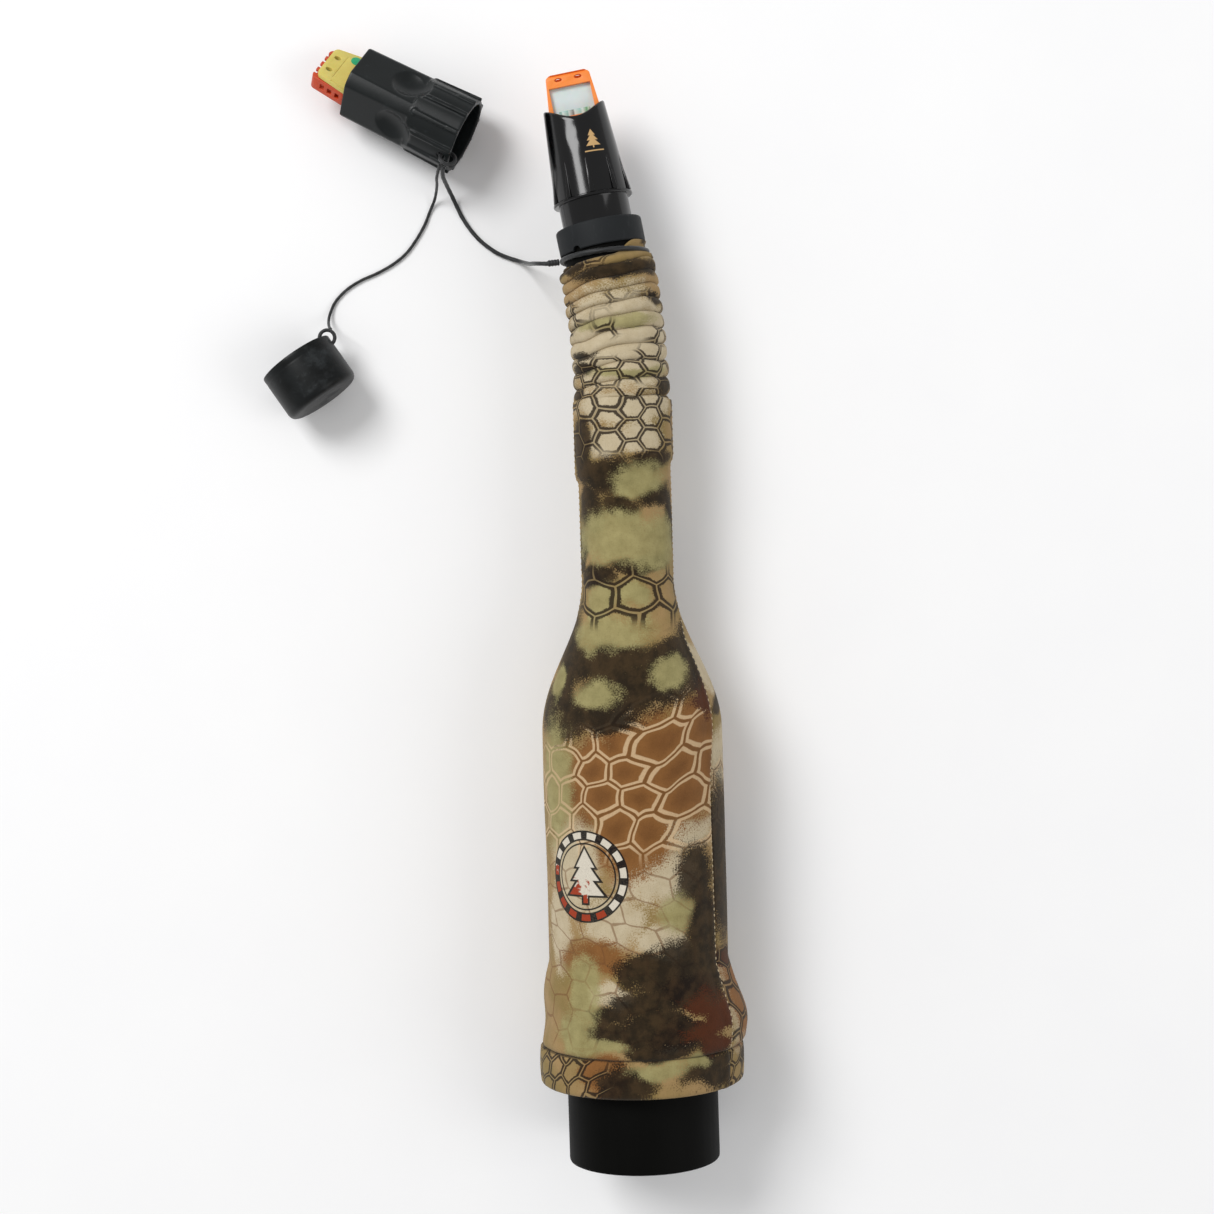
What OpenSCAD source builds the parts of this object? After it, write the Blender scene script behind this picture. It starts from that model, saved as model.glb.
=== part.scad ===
// Mouth-blown bugle tube for calling elk, with a cloth sleeve, a flexible neck, a plug-in reed
// call, a second reed call on a lanyard and a mouth cap.
// Frame: the tube lies along +Y with its open bell at the origin, +Z is up, and the table
// is at the height of the sleeve's lowest thread.

/* [Bell tube] */
// Outside diameter of the bell tube at the open end
bell_d = 75; // [60:1:90]
// Wall of the bell tube
bell_wall = 2.5; // [1.5:0.1:4]
// Length of bell tube that shows below the sleeve
bell_show = 40; // [15:1:70]
// Length of bell tube held inside the barrel
bell_hold = 25; // [15:1:40]
// Thickness of the rubber ring between bell tube and barrel
bush_t = 2.5; // [1.5:0.1:5]

/* [Barrel and neck] */
// Wall of the barrel, shoulder and neck
tube_wall = 2; // [1.5:0.1:3]
// Length of the straight barrel
barrel_len = 164; // [120:1:220]
// Length of the shoulder
shoulder_len = 76; // [50:1:100]
// Outside diameter of the neck
neck_d = 40; // [34:1:50]
// Length of the straight neck
neck_len = 88; // [60:1:130]

/* [Flexible neck] */
// Length of the flexible hose between the neck and the ferrule
flex_len = 70; // [50:1:100]
// Number of cloth rolls over the hose
flex_rolls = 10; // [6:1:14]
// Bend of the hose to the left at rest
flex_bend = 10; // [4:1:16]

/* [Sleeve] */
// Thickness of the padded cloth
cloth_t = 2; // [1:0.1:3]
// How far the hem stands off the barrel
hem_slack = 6; // [4:0.5:12]
// Height of the doubled hem band
hem_h = 18; // [12:1:30]
// Length over which the slack above the hem fades out
slack_len = 42; // [25:1:70]
// Angle of the right-hand side seam from the top
seam_angle = 58; // [40:1:80]

/* [Plug-in call] */
// Outside diameter of the call's shank
shank_d = 35; // [29:0.1:37]
// Gap between the shank and the ferrule's bore
shank_gap = 0.3; // [0.2:0.05:0.5]
// Length of the call from its flange to its mouth
call_len = 45; // [36:1:60]
// Outside diameter at the call's mouth
call_mouth_d = 31; // [29:0.5:34]

/* [Tethered call] */
// Length of the tethered call's barrel
tether_len = 63; // [50:1:76]
// Outside diameter at its mouth, across the corners
tether_mouth_d = 37; // [33:0.5:40]
// Outside diameter at its wide end
tether_end_d = 42; // [40:0.5:48]

/* [Reed cartridges] */
// Diameter of the round plug under each cartridge
plug_d = 22; // [18:0.5:24]
// Gap round the plug
plug_gap = 0.3; // [0.2:0.05:0.5]
// Width of a cartridge at the call's mouth
reed_w = 28; // [24:0.5:29]
// Width of a cartridge at its tip
reed_tip_w = 23; // [16:0.5:25]
// Length of a cartridge beyond the call's mouth
reed_len = 20; // [14:0.5:26]

/* [Mouth cap] */
// Outside diameter of the cap
cap_d = 40; // [36:0.5:46]
// Depth of the cap
cap_h = 26; // [18:1:34]
// Wall of the cap
cap_wall = 1.8; // [1.2:0.1:2.5]

/* [Lanyard] */
// Diameter of the cord to the tethered call
long_cord_d = 2.2; // [1.6:0.1:2.6]
// Diameter of the cord to the cap
short_cord_d = 1.6; // [1.2:0.1:2]

/* [Hidden] */

fine = 96;
soft_sides = 24;
eps = 0.01;

// Radii and stations along the tube
bell_r = bell_d / 2;
barrel_r = bell_r + bush_t + tube_wall;
neck_r = neck_d / 2;
hem_y = bell_show;
hem_top_y = hem_y + hem_h;
barrel_y = hem_y + 10;
bush_len = 8;
bush_lip = 1.5;
bell_collar_y = barrel_y + bush_len;
shoulder_y = barrel_y + barrel_len;
neck_y = shoulder_y + shoulder_len;
flex_y = neck_y + neck_len;
floor_z = -(barrel_r + cloth_t);
shoulder_steps = 14;

// The hose follows an arc in the horizontal plane
arc_r = flex_len / (flex_bend * PI / 180);
arc_end = [-arc_r * (1 - cos(flex_bend)), flex_y + arc_r * sin(flex_bend)];
hose_wall = 1.5;
hose_r = neck_r - 0.7;
hose_cuff_r = neck_r - tube_wall - 0.1;
hose_cuff_len = 12;
gather_gap = 0.9;
gather_end = 0.5;

// Neck top, in millimetres along the axis beyond the end of the hose
ferrule_plug_len = 12;
ferrule_plug_r = hose_r - 2 - hose_wall - 0.3;
ferrule_bore_r = shank_d / 2 + shank_gap;
ferrule_r = ferrule_bore_r + 2.1;
ferrule_step = 2.8;
collar_from = 6.3;
collar_to = 19;
collar_t = 1.8;
loop_t = 1.3;
loop_at = 2.9;
loop_tilt = 5;
loop_r = ferrule_r + loop_t + 0.2;
slip_knot_len = 6;
slip_knot_r = 2.1;

// Plug-in call
flange_at = 31;
flange_t = 1.6;
flange_r = 20;
mouth_at = flange_at + call_len;
shank_r = shank_d / 2;
shank_bore_r = shank_r - 3;
call_root_r = flange_r - 0.8;
call_mouth_r = call_mouth_d / 2;
plug_r = plug_d / 2;
plug_len = 14;
socket_len = plug_len + 2;
socket_r = plug_r + plug_gap;
grip_ribs = 10;

// Cartridge
base_low = -6;
base_high = 2;
latex_t = 0.4;
frame_t = 2.4;
face_gap = 0.3;
plug_wall = 3;
window = [20, 12];
window_from = -1.5;
skirt = 8;
pocket_r = reed_w / 2 + 0.1;
pocket_len = skirt + 1.5;
saddle_r = 18;
lip_rise = 3.3;

// Tethered call and cap, lying on the table
tether_end = [-76, 518];
tether_heading = 151.5;
tether_roll = 35;
tether_wall = 2.7;
tether_round_len = 27;
scoop_r = 13;
scoop_depth = 1.8;
tether_end_r = tether_end_d / 2;
tether_tilt = asin((tether_end_d - tether_mouth_d) / 2 / tether_len);
knot_r = 3.9;
knot_t = 1;
hole_in = knot_r + 0.8;
hole_r = 1.9;
tether_hole_angle = -2;
cap_heading = 123.5;
cap_rim = [-166, 407.5];
cap_r = cap_d / 2;

// Cord routes, from the slip knot to the tethered call and from there to the cap
LONG_ROUTE = [[-35.8, 448, 0], [-38.5, 448.3, -1.4], [-41, 449, -5], [-43, 450, -11],
    [-44.5, 451, -18], [-46, 452.5, -26], [-47.5, 454, -33], [-49.5, 455.5, -39],
    [-52.5, 457, -42], [-56.5, 458.5, -42.8], [-62, 461, -42.8], [-67, 464.5, -42.8],
    [-71.5, 468.5, -42.8], [-76, 474, -42.8], [-80, 480.5, -42.8], [-82.5, 486, -42.4],
    [-84.5, 490.5, -39.5], [-86, 493.5, -34], [-87, 495.5, -27], [-87.6, 497, -20],
    [-87.4, 499, -15], [-86.9, 500.3, -12.4]];
SHORT_ROUTE = [[-88.4, 501.7, -12.2], [-89.5, 500, -15.5], [-91, 497, -22], [-91.5, 495, -29],
    [-92.5, 492.5, -36], [-94, 489, -41], [-96.5, 484, -43], [-99.5, 477, -43],
    [-104, 469.5, -43], [-109.5, 462.5, -43], [-116.5, 457, -43], [-125, 452.5, -43],
    [-133.5, 449, -43], [-141, 444.5, -43], [-147, 438.5, -43], [-150, 432, -42],
    [-150.5, 427.5, -39], [-149.5, 424, -33.5], [-148.2, 422.4, -28.5],
    [-148.2, 422.2, -26]];

// ---- Frames ------------------------------------------------------------------------------

// Local Z along the tube, local Y up
module along_tube(y = 0) {
    translate([0, y, 0]) rotate([90, 0, 180]) children();
}

// Local Z along the neck top's axis, starting where the hose ends
module on_neck_top() {
    translate([arc_end.x, arc_end.y, 0]) rotate([0, 0, flex_bend]) rotate([90, 0, 180]) children();
}

// Local Z from the tethered call's wide end to its mouth
module on_tether() {
    translate([tether_end.x, tether_end.y, floor_z + tether_end_r])
        rotate([-tether_tilt, 0, tether_heading - 90]) rotate([90, 0, 180])
            rotate([0, 0, tether_roll]) children();
}

// Local Z out of the cap's mouth, starting at its rim
module on_cap() {
    translate([cap_rim.x, cap_rim.y, floor_z + cap_r])
        rotate([0, 0, cap_heading - 90]) rotate([90, 0, 180]) children();
}

// ---- Outlines ----------------------------------------------------------------------------

// Outside radius of the barrel, shoulder and neck at station y
function tube_r(y) =
    y <= shoulder_y ? barrel_r :
    y >= neck_y ? neck_r :
    neck_r + (barrel_r - neck_r) * (1 + cos(180 * (y - shoulder_y) / shoulder_len)) / 2;

// How far the slack cloth stands off the barrel at station y
function slack(y) =
    y >= hem_top_y + slack_len ? 0 :
    hem_slack * sin(90 + 90 * max(0, y - hem_top_y - 8) / (slack_len - 8));

// Stations of the shoulder
function shoulder_stations() =
    [for (i = [0:shoulder_steps]) shoulder_y + shoulder_len * i / shoulder_steps];

// The same with the slack zone above the hem and the end of the neck
function sleeve_stations() = concat(
    [for (i = [0:8]) hem_top_y + slack_len * i / 8], shoulder_stations(), [flex_y]);

function sleeve_r(y) = tube_r(y) + slack(y);

// Closed outline between two radius lists over the same stations
module wall_outline(ys, inner, outer) {
    polygon(concat([for (i = [0:len(ys) - 1]) [outer[i], ys[i]]],
        [for (i = [len(ys) - 1:-1:0]) [inner[i], ys[i]]]));
}

module ring(r_out, r_in, from, to) {
    translate([0, 0, from]) difference() {
        cylinder(h = to - from, r = r_out, $fn = fine);
        translate([0, 0, -1]) cylinder(h = to - from + 2, r = r_in, $fn = fine);
    }
}

// A turned band about the tube's axis, pressed flat by the table at drop below the axis
module settled(drop) {
    intersection() {
        children();
        translate([-100, -10, -drop]) cube([200, 700, 200]);
    }
}

// ---- Sweeps ------------------------------------------------------------------------------

function unit(v) = v / norm(v);

function sweep_frames(path) = [for (i = [0:len(path) - 1])
    let (t = unit(path[min(i + 1, len(path) - 1)] - path[max(i - 1, 0)]),
        side = unit(cross(t, [0.3, 0.2, 1])))
    [path[i], side, cross(side, t)]];

function sweep_ring(frame, r, sides) = [for (k = [0:sides - 1])
    frame[0] + r * (cos(360 * k / sides) * frame[1] + sin(360 * k / sides) * frame[2])];

// Solid tube of one radius along a path
module cord_tube(path, r, sides = 8) {
    frames = sweep_frames(path);
    n = len(path);
    points = [for (f = frames) each sweep_ring(f, r, sides)];
    skin = [for (i = [0:n - 2]) for (k = [0:sides - 1])
        let (a = i * sides + k, b = i * sides + (k + 1) % sides)
        each [[a, b, b + sides], [a, b + sides, a + sides]]];
    ends = [[for (k = [sides - 1:-1:0]) k], [for (k = [0:sides - 1]) (n - 1) * sides + k]];
    polyhedron(points, concat(skin, ends), convexity = 6);
}

// Hollow tube whose two radii change along a path
module hollow_tube(path, outer, inner, sides = soft_sides) {
    frames = sweep_frames(path);
    n = len(path);
    m = n * sides;
    points = concat([for (i = [0:n - 1]) each sweep_ring(frames[i], outer[i], sides)],
        [for (i = [0:n - 1]) each sweep_ring(frames[i], inner[i], sides)]);
    skin = [for (i = [0:n - 2]) for (k = [0:sides - 1])
        let (a = i * sides + k, b = i * sides + (k + 1) % sides)
        each [[a, b, b + sides], [a, b + sides, a + sides],
            [m + b, m + a, m + a + sides], [m + b, m + a + sides, m + b + sides]]];
    ends = [for (k = [0:sides - 1])
        let (k2 = (k + 1) % sides, last = (n - 1) * sides)
        each [[k, m + k, m + k2], [k, m + k2, k2],
            [last + k2, m + last + k2, m + last + k], [last + k2, m + last + k, last + k]]];
    polyhedron(points, concat(skin, ends), convexity = 6);
}

// Smooth curve through hand-set points, one more ring between each two
function between(a, b, c, d) = (9 * (b + c) - a - d) / 16;
function smooth(pts) = [for (i = [0:len(pts) - 1]) each concat([pts[i]],
    i == len(pts) - 1 ? [] : [between(pts[max(i - 1, 0)], pts[i], pts[i + 1],
        pts[min(i + 2, len(pts) - 1)])])];

// Point on the neck's centre line, t from 0 at the hose's foot to 1 at its end
function arc_point(t) = [-arc_r * (1 - cos(flex_bend * t)), flex_y + arc_r * sin(flex_bend * t), 0];

// ---- Bell and tube -----------------------------------------------------------------------

// Straight tube with a raised band at its inner end that grips the barrel
module bell_tube() color("black") along_tube() {
    inner_end = bell_collar_y + bell_hold - 10;
    difference() {
        union() {
            cylinder(h = inner_end, r = bell_r, $fn = fine);
            translate([0, 0, bell_collar_y])
                cylinder(h = inner_end - bell_collar_y, r = bell_r + bush_t, $fn = fine);
        }
        translate([0, 0, -1]) cylinder(h = inner_end + 2, r = bell_r - bell_wall, $fn = fine);
    }
}

// Rubber ring that fills the gap at the barrel's mouth
module bell_bush() color("dimgray") along_tube() {
    ring(bell_r + bush_t, bell_r, barrel_y, bell_collar_y);
    ring(barrel_r, bell_r, barrel_y - bush_lip, barrel_y);
}

// Barrel, shoulder and neck of the tube's moulding, which meet end to end
module tube_barrel() color("black") along_tube()
    ring(barrel_r, barrel_r - tube_wall, barrel_y, shoulder_y);

module tube_shoulder() color("black") along_tube() rotate_extrude($fn = fine) {
    ys = shoulder_stations();
    wall_outline(ys, [for (y = ys) tube_r(y) - tube_wall], [for (y = ys) tube_r(y)]);
}

module tube_neck() color("black") along_tube() ring(neck_r, neck_r - tube_wall, neck_y, flex_y);

// Corrugated hose with a cuff plugged into the neck
module flex_neck() color("black") {
    steps = flex_rolls * 3;
    cuff = [for (y = [-hose_cuff_len, -2, 0.2]) [0, flex_y + y, 0]];
    path = concat(cuff, [for (i = [1:steps]) arc_point(i / steps)]);
    outer = concat([for (c = cuff) hose_cuff_r],
        [for (i = [1:steps]) hose_r - (i % 3 == 0 ? 2 : 0)]);
    hollow_tube(path, outer, [for (r = outer) min(r - hose_wall, hose_r - 2 - hose_wall)]);
}

// ---- Sleeve ------------------------------------------------------------------------------

module sleeve_wrap() {
    ys = sleeve_stations();
    difference() {
        settled(-floor_z) along_tube() rotate_extrude($fn = fine)
            wall_outline(ys, [for (y = ys) 0], [for (y = ys) sleeve_r(y) + cloth_t]);
        settled(barrel_r) along_tube() rotate_extrude($fn = fine)
            wall_outline(ys, [for (y = ys) 0], [for (y = ys) sleeve_r(y)]);
        along_tube() translate([0, 0, flex_y - 1]) cylinder(h = 3, r = neck_r, $fn = fine);
        settled(barrel_r) along_tube() translate([0, 0, hem_top_y - 2])
            cylinder(h = 3, r = sleeve_r(hem_top_y), $fn = fine);
    }
}

// Half space on one side of the plane through both seams
module seam_side(turn) {
    rotate([0, 90 - seam_angle + turn, 0]) translate([-100, 0, 0]) cube([200, 600, 100]);
}

module sleeve_front() color("tan") intersection() {
    sleeve_wrap();
    seam_side(-90);
}

module sleeve_back() color("saddlebrown") intersection() {
    sleeve_wrap();
    seam_side(90);
}

// Felled seam: a narrow strip laid along the cloth over the joint
module seam(turn) color("beige") {
    w = 3;
    t = 0.6;
    ys = [for (y = sleeve_stations()) if (y >= hem_top_y) y];
    difference() {
        intersection() {
            along_tube() rotate_extrude($fn = fine) wall_outline(ys,
                [for (y = ys) sleeve_r(y) + cloth_t], [for (y = ys) sleeve_r(y) + cloth_t + t]);
            rotate([0, seam_angle + turn, 0]) translate([-w / 2, 0, 0]) cube([w, 600, 100]);
            translate([-100, 0, floor_z]) cube([200, 600, 200]);
        }
        translate([-100, -10, floor_z - 200]) cube([200, 700, 200]);
    }
}

module seam_right() seam(0);
module seam_left() seam(180);

// A flattened band under the hem: outer radius, inner radius, their drops, first and last y
module settled_band(r_out, drop_out, r_in, drop_in, from, to) difference() {
    settled(drop_out) along_tube(from) cylinder(h = to - from, r = r_out, $fn = fine);
    settled(drop_in) along_tube(from - 1) cylinder(h = to - from + 2, r = r_in, $fn = fine);
}

hem_r = barrel_r + hem_slack;
hem_t = cloth_t + 1.5;
elastic_from = hem_y + 3;
elastic_to = hem_top_y - 3;

// Doubled hem with a tunnel for the elastic
module sleeve_hem() color("peru") difference() {
    settled_band(hem_r + cloth_t, -floor_z, hem_r + cloth_t - hem_t, barrel_r, hem_y, hem_top_y);
    elastic_band();
}

module elastic_band() {
    settled_band(hem_r + cloth_t - 1.2, -floor_z - 0.7, hem_r + cloth_t - 2.4, barrel_r + 0.7,
        elastic_from, elastic_to);
}

module hem_elastic() color("white") elastic_band();

// Cloth bunched in rolls over the hose
module sleeve_gathers() color("wheat") {
    steps = flex_rolls * 4;
    last = 1 - gather_end / flex_len;
    path = concat([[0, flex_y + 0.1, 0]], [for (i = [1:steps]) arc_point(last * i / steps)]);
    inner = neck_r + gather_gap;
    outer = [for (i = [0:steps]) neck_r + cloth_t + (i % 4 == 0 ? 0 : i % 4 == 2 ? 2.4 : 1.7)];
    hollow_tube(path, outer, [for (i = [0:steps]) inner]);
}

// Elastic thread inside the last roll
module neck_elastic() color("white") on_neck_top()
    ring(neck_r + 0.4, neck_r - 0.2, -7, -1);

// ---- Neck top ----------------------------------------------------------------------------

// Hard socket: a narrow plug in the hose and a bore for the call
module neck_ferrule() color("black") on_neck_top() difference() {
    union() {
        translate([0, 0, -ferrule_plug_len])
            cylinder(h = ferrule_plug_len + 1, r = ferrule_plug_r, $fn = fine);
        translate([0, 0, 0.3]) cylinder(h = collar_to - 0.3, r = ferrule_r, $fn = fine);
    }
    translate([0, 0, -ferrule_plug_len - 1])
        cylinder(h = collar_to + 20, r = ferrule_plug_r - 2, $fn = fine);
    translate([0, 0, ferrule_step]) cylinder(h = collar_to, r = ferrule_bore_r, $fn = fine);
}

// Rubber collar round the ferrule, with a notch for the lanyard
module neck_collar() color("dimgray") on_neck_top() difference() {
    ring(ferrule_r + collar_t, ferrule_r, collar_from, collar_to);
    rotate([0, 0, 52]) translate([ferrule_r - 1, 0, collar_from])
        rotate([0, 90, 0]) cylinder(h = 2 * collar_t + 2, r = 2.2, $fn = 32);
}

module on_loop() on_neck_top() translate([0, 0, loop_at]) rotate([0, -loop_tilt, 0]) children();

// Lanyard loop round the ferrule, below the collar
module lanyard_loop() color("black") on_loop() rotate_extrude($fn = fine)
    translate([loop_r, 0]) circle(r = loop_t, $fn = 24);

// Slip knot at the loop's left side
module lanyard_slip_knot() color("black") on_loop() rotate([0, 90, 0])
    translate([0, 0, loop_r + loop_t]) cylinder(h = slip_knot_len, r = slip_knot_r, $fn = 32);

// ---- Plug-in call ------------------------------------------------------------------------

oring_at = [8, 14];
oring_t = 0.8;
oring_r = ferrule_bore_r - oring_t - 0.05;

// Turned barrel with shank, flange, tapered grip, ribs and a dished lip
module bugle_barrel() color("black") on_neck_top() difference() {
    union() {
        translate([0, 0, ferrule_step + 0.3])
            cylinder(h = flange_at - ferrule_step, r = shank_r, $fn = fine);
        translate([0, 0, flange_at]) cylinder(h = flange_t, r = flange_r, $fn = fine);
        translate([0, 0, flange_at + flange_t])
            cylinder(h = call_len - flange_t + lip_rise, r1 = call_root_r, r2 = call_mouth_r,
                $fn = fine);
        for (i = [0:grip_ribs - 1]) rotate([0, 0, 360 * (i + 0.5) / grip_ribs])
            translate([plug_r + 2, -0.8, flange_at + flange_t - eps])
                cube([flange_r - plug_r - 2.3, 1.6, 20]);
    }
    translate([0, 0, -1])
        cylinder(h = mouth_at - skirt - socket_len + 1, r = shank_bore_r - 2, $fn = fine);
    translate([0, 0, mouth_at - skirt - socket_len])
        cylinder(h = skirt + socket_len + 1, r = socket_r, $fn = fine);
    translate([0, 0, mouth_at - pocket_len])
        cylinder(h = pocket_len + lip_rise + 1, r = pocket_r, $fn = fine);
    lip_saddle();
    for (at = oring_at) rotate_extrude($fn = fine)
        translate([oring_r - oring_t, at - oring_t]) square([4, 2 * oring_t]);
}

// What the lip loses in front and behind, so that its sides stand highest
module lip_saddle() difference() {
    translate([-30, -30, mouth_at + lip_rise - saddle_r]) cube([60, 60, saddle_r + 5]);
    translate([-40, 0, mouth_at + lip_rise - saddle_r]) rotate([0, 90, 0])
        cylinder(h = 80, r = saddle_r, $fn = fine);
}

module bugle_orings() color("darkorange") on_neck_top() for (at = oring_at)
    rotate_extrude($fn = fine) translate([oring_r, at]) circle(r = oring_t, $fn = 24);

// ---- Reed cartridges ---------------------------------------------------------------------

// Outline of a cartridge seen from above: wide at the mouth, narrow at the tip, soft corners
module cartridge_outline(w, tip_w, from, to) {
    soft = 2.5;
    polygon([[-w / 2, from], [w / 2, from], [tip_w / 2, to - soft], [tip_w / 2 - soft, to],
        [-tip_w / 2 + soft, to], [-tip_w / 2, to - soft]]);
}

// Slab of that outline between two heights
module cartridge_slab(w, tip_w, from, to, low, high) {
    translate([0, high, 0]) rotate([90, 0, 0]) linear_extrude(high - low)
        cartridge_outline(w, tip_w, from, to);
}

module reed_plug() translate([0, 0, -plug_len]) difference() {
    cylinder(h = plug_len + face_gap, r = plug_r, $fn = fine);
    translate([0, 0, -1]) cylinder(h = plug_len + 3, r = plug_r - plug_wall, $fn = fine);
}

// Part of a cartridge slab that stands inside a round pocket, down to the given depth
module pocket_slab(w, depth, low, high) {
    if (depth > 0) intersection() {
        translate([-w / 2, low, -depth]) cube([w, high - low, depth + face_gap]);
        translate([0, 0, -depth - 1]) cylinder(h = depth + 2, r = pocket_r - 0.3, $fn = fine);
    }
}

// Trims a cartridge where it stands inside the lip round it
module clear_of_lip() intersection() {
    children();
    union() {
        translate([0, 0, -skirt - 1])
            cylinder(h = skirt + 1 + lip_rise + face_gap, r = pocket_r - 0.3, $fn = fine);
        translate([-40, -40, lip_rise + face_gap]) cube(80);
    }
}

module reed_base(depth = 0) difference() {
    union() {
        cartridge_slab(reed_w - 2, reed_tip_w - 2, face_gap, reed_len - 2, base_low, base_high);
        pocket_slab(reed_w - 2, depth, base_low, base_high);
    }
    translate([-7, base_low + 1.8, -depth - 1])
        cube([14, base_high - base_low - 3.4, reed_len + depth + 1]);
    translate([-7, base_low + 1.8, 3]) cube([14, 12, 8]);
    for (side = [-1, 1], i = [0:2])
        translate([side * (reed_w / 2 - 1.5), -2, 4 + 4.5 * i])
            cube([6, 3, 2.4], center = true);
}

module reed_latex(depth = 0) {
    cartridge_slab(reed_w - 3, reed_tip_w - 3, face_gap, reed_len - 3, base_high, base_high + latex_t);
    pocket_slab(reed_w - 3, depth, base_high, base_high + latex_t);
}

module reed_frame(depth = 0) {
    low = base_high + latex_t;
    difference() {
        union() {
            cartridge_slab(reed_w, reed_tip_w, face_gap, reed_len, low, low + frame_t);
            pocket_slab(reed_w, depth, low, low + frame_t);
        }
        if (depth > 0) translate([-window.x / 2, low - 1, window_from])
            cube([window.x, frame_t + 2, window.y]);
        for (side = [-1, 1]) translate([side * 5, low + frame_t + 1, reed_len - 4])
            rotate([90, 0, 0]) cylinder(h = frame_t + 2, r = 1.2, $fn = 24);
    }
}

module on_bugle_mouth() on_neck_top() translate([0, 0, mouth_at]) children();
module on_tether_mouth() on_tether() translate([0, 0, tether_len]) children();

module bugle_reed_plug() color("darkorange") on_bugle_mouth()
    translate([0, 0, -skirt - face_gap]) reed_plug();
module bugle_reed_base() color("orangered") on_bugle_mouth() clear_of_lip()
    reed_base(skirt);
module bugle_reed_latex() color("ivory") on_bugle_mouth() clear_of_lip()
    reed_latex(skirt);
module bugle_reed_frame() color("darkorange") on_bugle_mouth() clear_of_lip()
    reed_frame(skirt);

// Coloured tape across the frame's face, below its window
module bugle_reed_strip() color("teal") on_bugle_mouth()
    translate([-9, base_high + latex_t + frame_t, window_from - 5])
        cube([18, 0.3, 4.6]);

module tether_reed_plug() color("orangered") on_tether_mouth() reed_plug();
module tether_reed_base() color("orangered") on_tether_mouth() reed_base();
module tether_reed_latex() color("ivory") on_tether_mouth() reed_latex();
module tether_reed_frame() color("khaki") on_tether_mouth() reed_frame();

// Round pitch mark on the frame's face
module tether_reed_mark() color("mediumseagreen") on_tether_mouth()
    translate([-8.8, base_high + latex_t + frame_t + 0.4, 7.5])
        rotate([90, 0, 0]) cylinder(h = 0.4, r = 1.7, $fn = 32);

// ---- Tethered call -----------------------------------------------------------------------

// Round wide end with ribs, square mouth with soft corners, thumb scoops between them
module tether_barrel() color("#202020") on_tether() {
    square_w = tether_mouth_d * 0.84;
    rib_depth = 1;
    mouth_r = tether_mouth_d / 2;
    body_r = tether_end_r - rib_depth;
    difference() {
        union() {
            intersection() {
                cylinder(h = tether_len, r1 = body_r, r2 = mouth_r, $fn = fine);
                union() {
                    translate([-square_w / 2, -square_w / 2, 0])
                        cube([square_w, square_w, tether_len]);
                    cylinder(h = tether_round_len, r = body_r, $fn = fine);
                }
            }
            intersection() {
                cylinder(h = tether_len, r1 = tether_end_r, r2 = mouth_r, $fn = fine);
                for (i = [0:11]) rotate([0, 0, 15 + 30 * i])
                    translate([body_r - 3, -1.3, 0]) cube([6, 2.6, tether_round_len - 2]);
            }
        }
        translate([0, 0, -1])
            cylinder(h = tether_round_len - 3, r = body_r - tether_wall, $fn = fine);
        translate([0, 0, 1]) cylinder(h = tether_len, r = socket_r, $fn = fine);
        for (i = [0:3]) rotate([0, 0, 90 * i])
            translate([square_w / 2 + scoop_r - scoop_depth, 0, tether_round_len + 8])
                sphere(r = scoop_r, $fn = 64);
        rotate([0, 0, tether_hole_angle]) translate([0, 0, hole_in]) rotate([0, 90, 0])
            cylinder(h = tether_end_r + 5, r = hole_r, $fn = 32);
    }
}

// Loop of cord through a hole near a rim: knot_r in radius, round the wall's middle
module rim_knot(wall_r) rotate([90, 0, 0]) translate([wall_r, 0, 0])
    rotate_extrude($fn = 48) translate([knot_r, 0]) circle(r = knot_t, $fn = 24);

module tether_knot() color("black") on_tether() rotate([0, 0, tether_hole_angle])
    translate([0, 0, hole_in - knot_r]) rim_knot(tether_end_r - 1 - tether_wall / 2);

// ---- Mouth cap ---------------------------------------------------------------------------

// Round cup with a domed end and a lanyard hole near its rim
module mouth_cap() color("#202020") on_cap() difference() {
    dome = 4;
    rotate_extrude($fn = fine) difference() {
        union() {
            translate([0, -cap_h + dome]) square([cap_r, cap_h - dome]);
            translate([0, -cap_h]) square([cap_r - dome, dome + eps]);
            translate([cap_r - dome, -cap_h + dome]) circle(r = dome, $fn = 48);
        }
        translate([0, -cap_h + cap_wall]) square([cap_r - cap_wall - 2.5, cap_h]);
        translate([0, -cap_h + cap_wall + 2.5]) square([cap_r - cap_wall, cap_h]);
        translate([-100, -60]) square([100, 120]);
    }
    rotate([0, 0, 180]) translate([0, 0, -hole_in]) rotate([0, 90, 0])
        cylinder(h = cap_r + 5, r = hole_r, $fn = 32);
}

module cap_knot() color("black") on_cap() rotate([0, 0, 180])
    translate([0, 0, knot_r - hole_in]) rim_knot(cap_r - cap_wall / 2);

// ---- Lanyard cords -----------------------------------------------------------------------

module lanyard_cord_long() color("black") cord_tube(smooth(LONG_ROUTE), long_cord_d / 2);
module lanyard_cord_short() color("black") cord_tube(smooth(SHORT_ROUTE), short_cord_d / 2);

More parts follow.
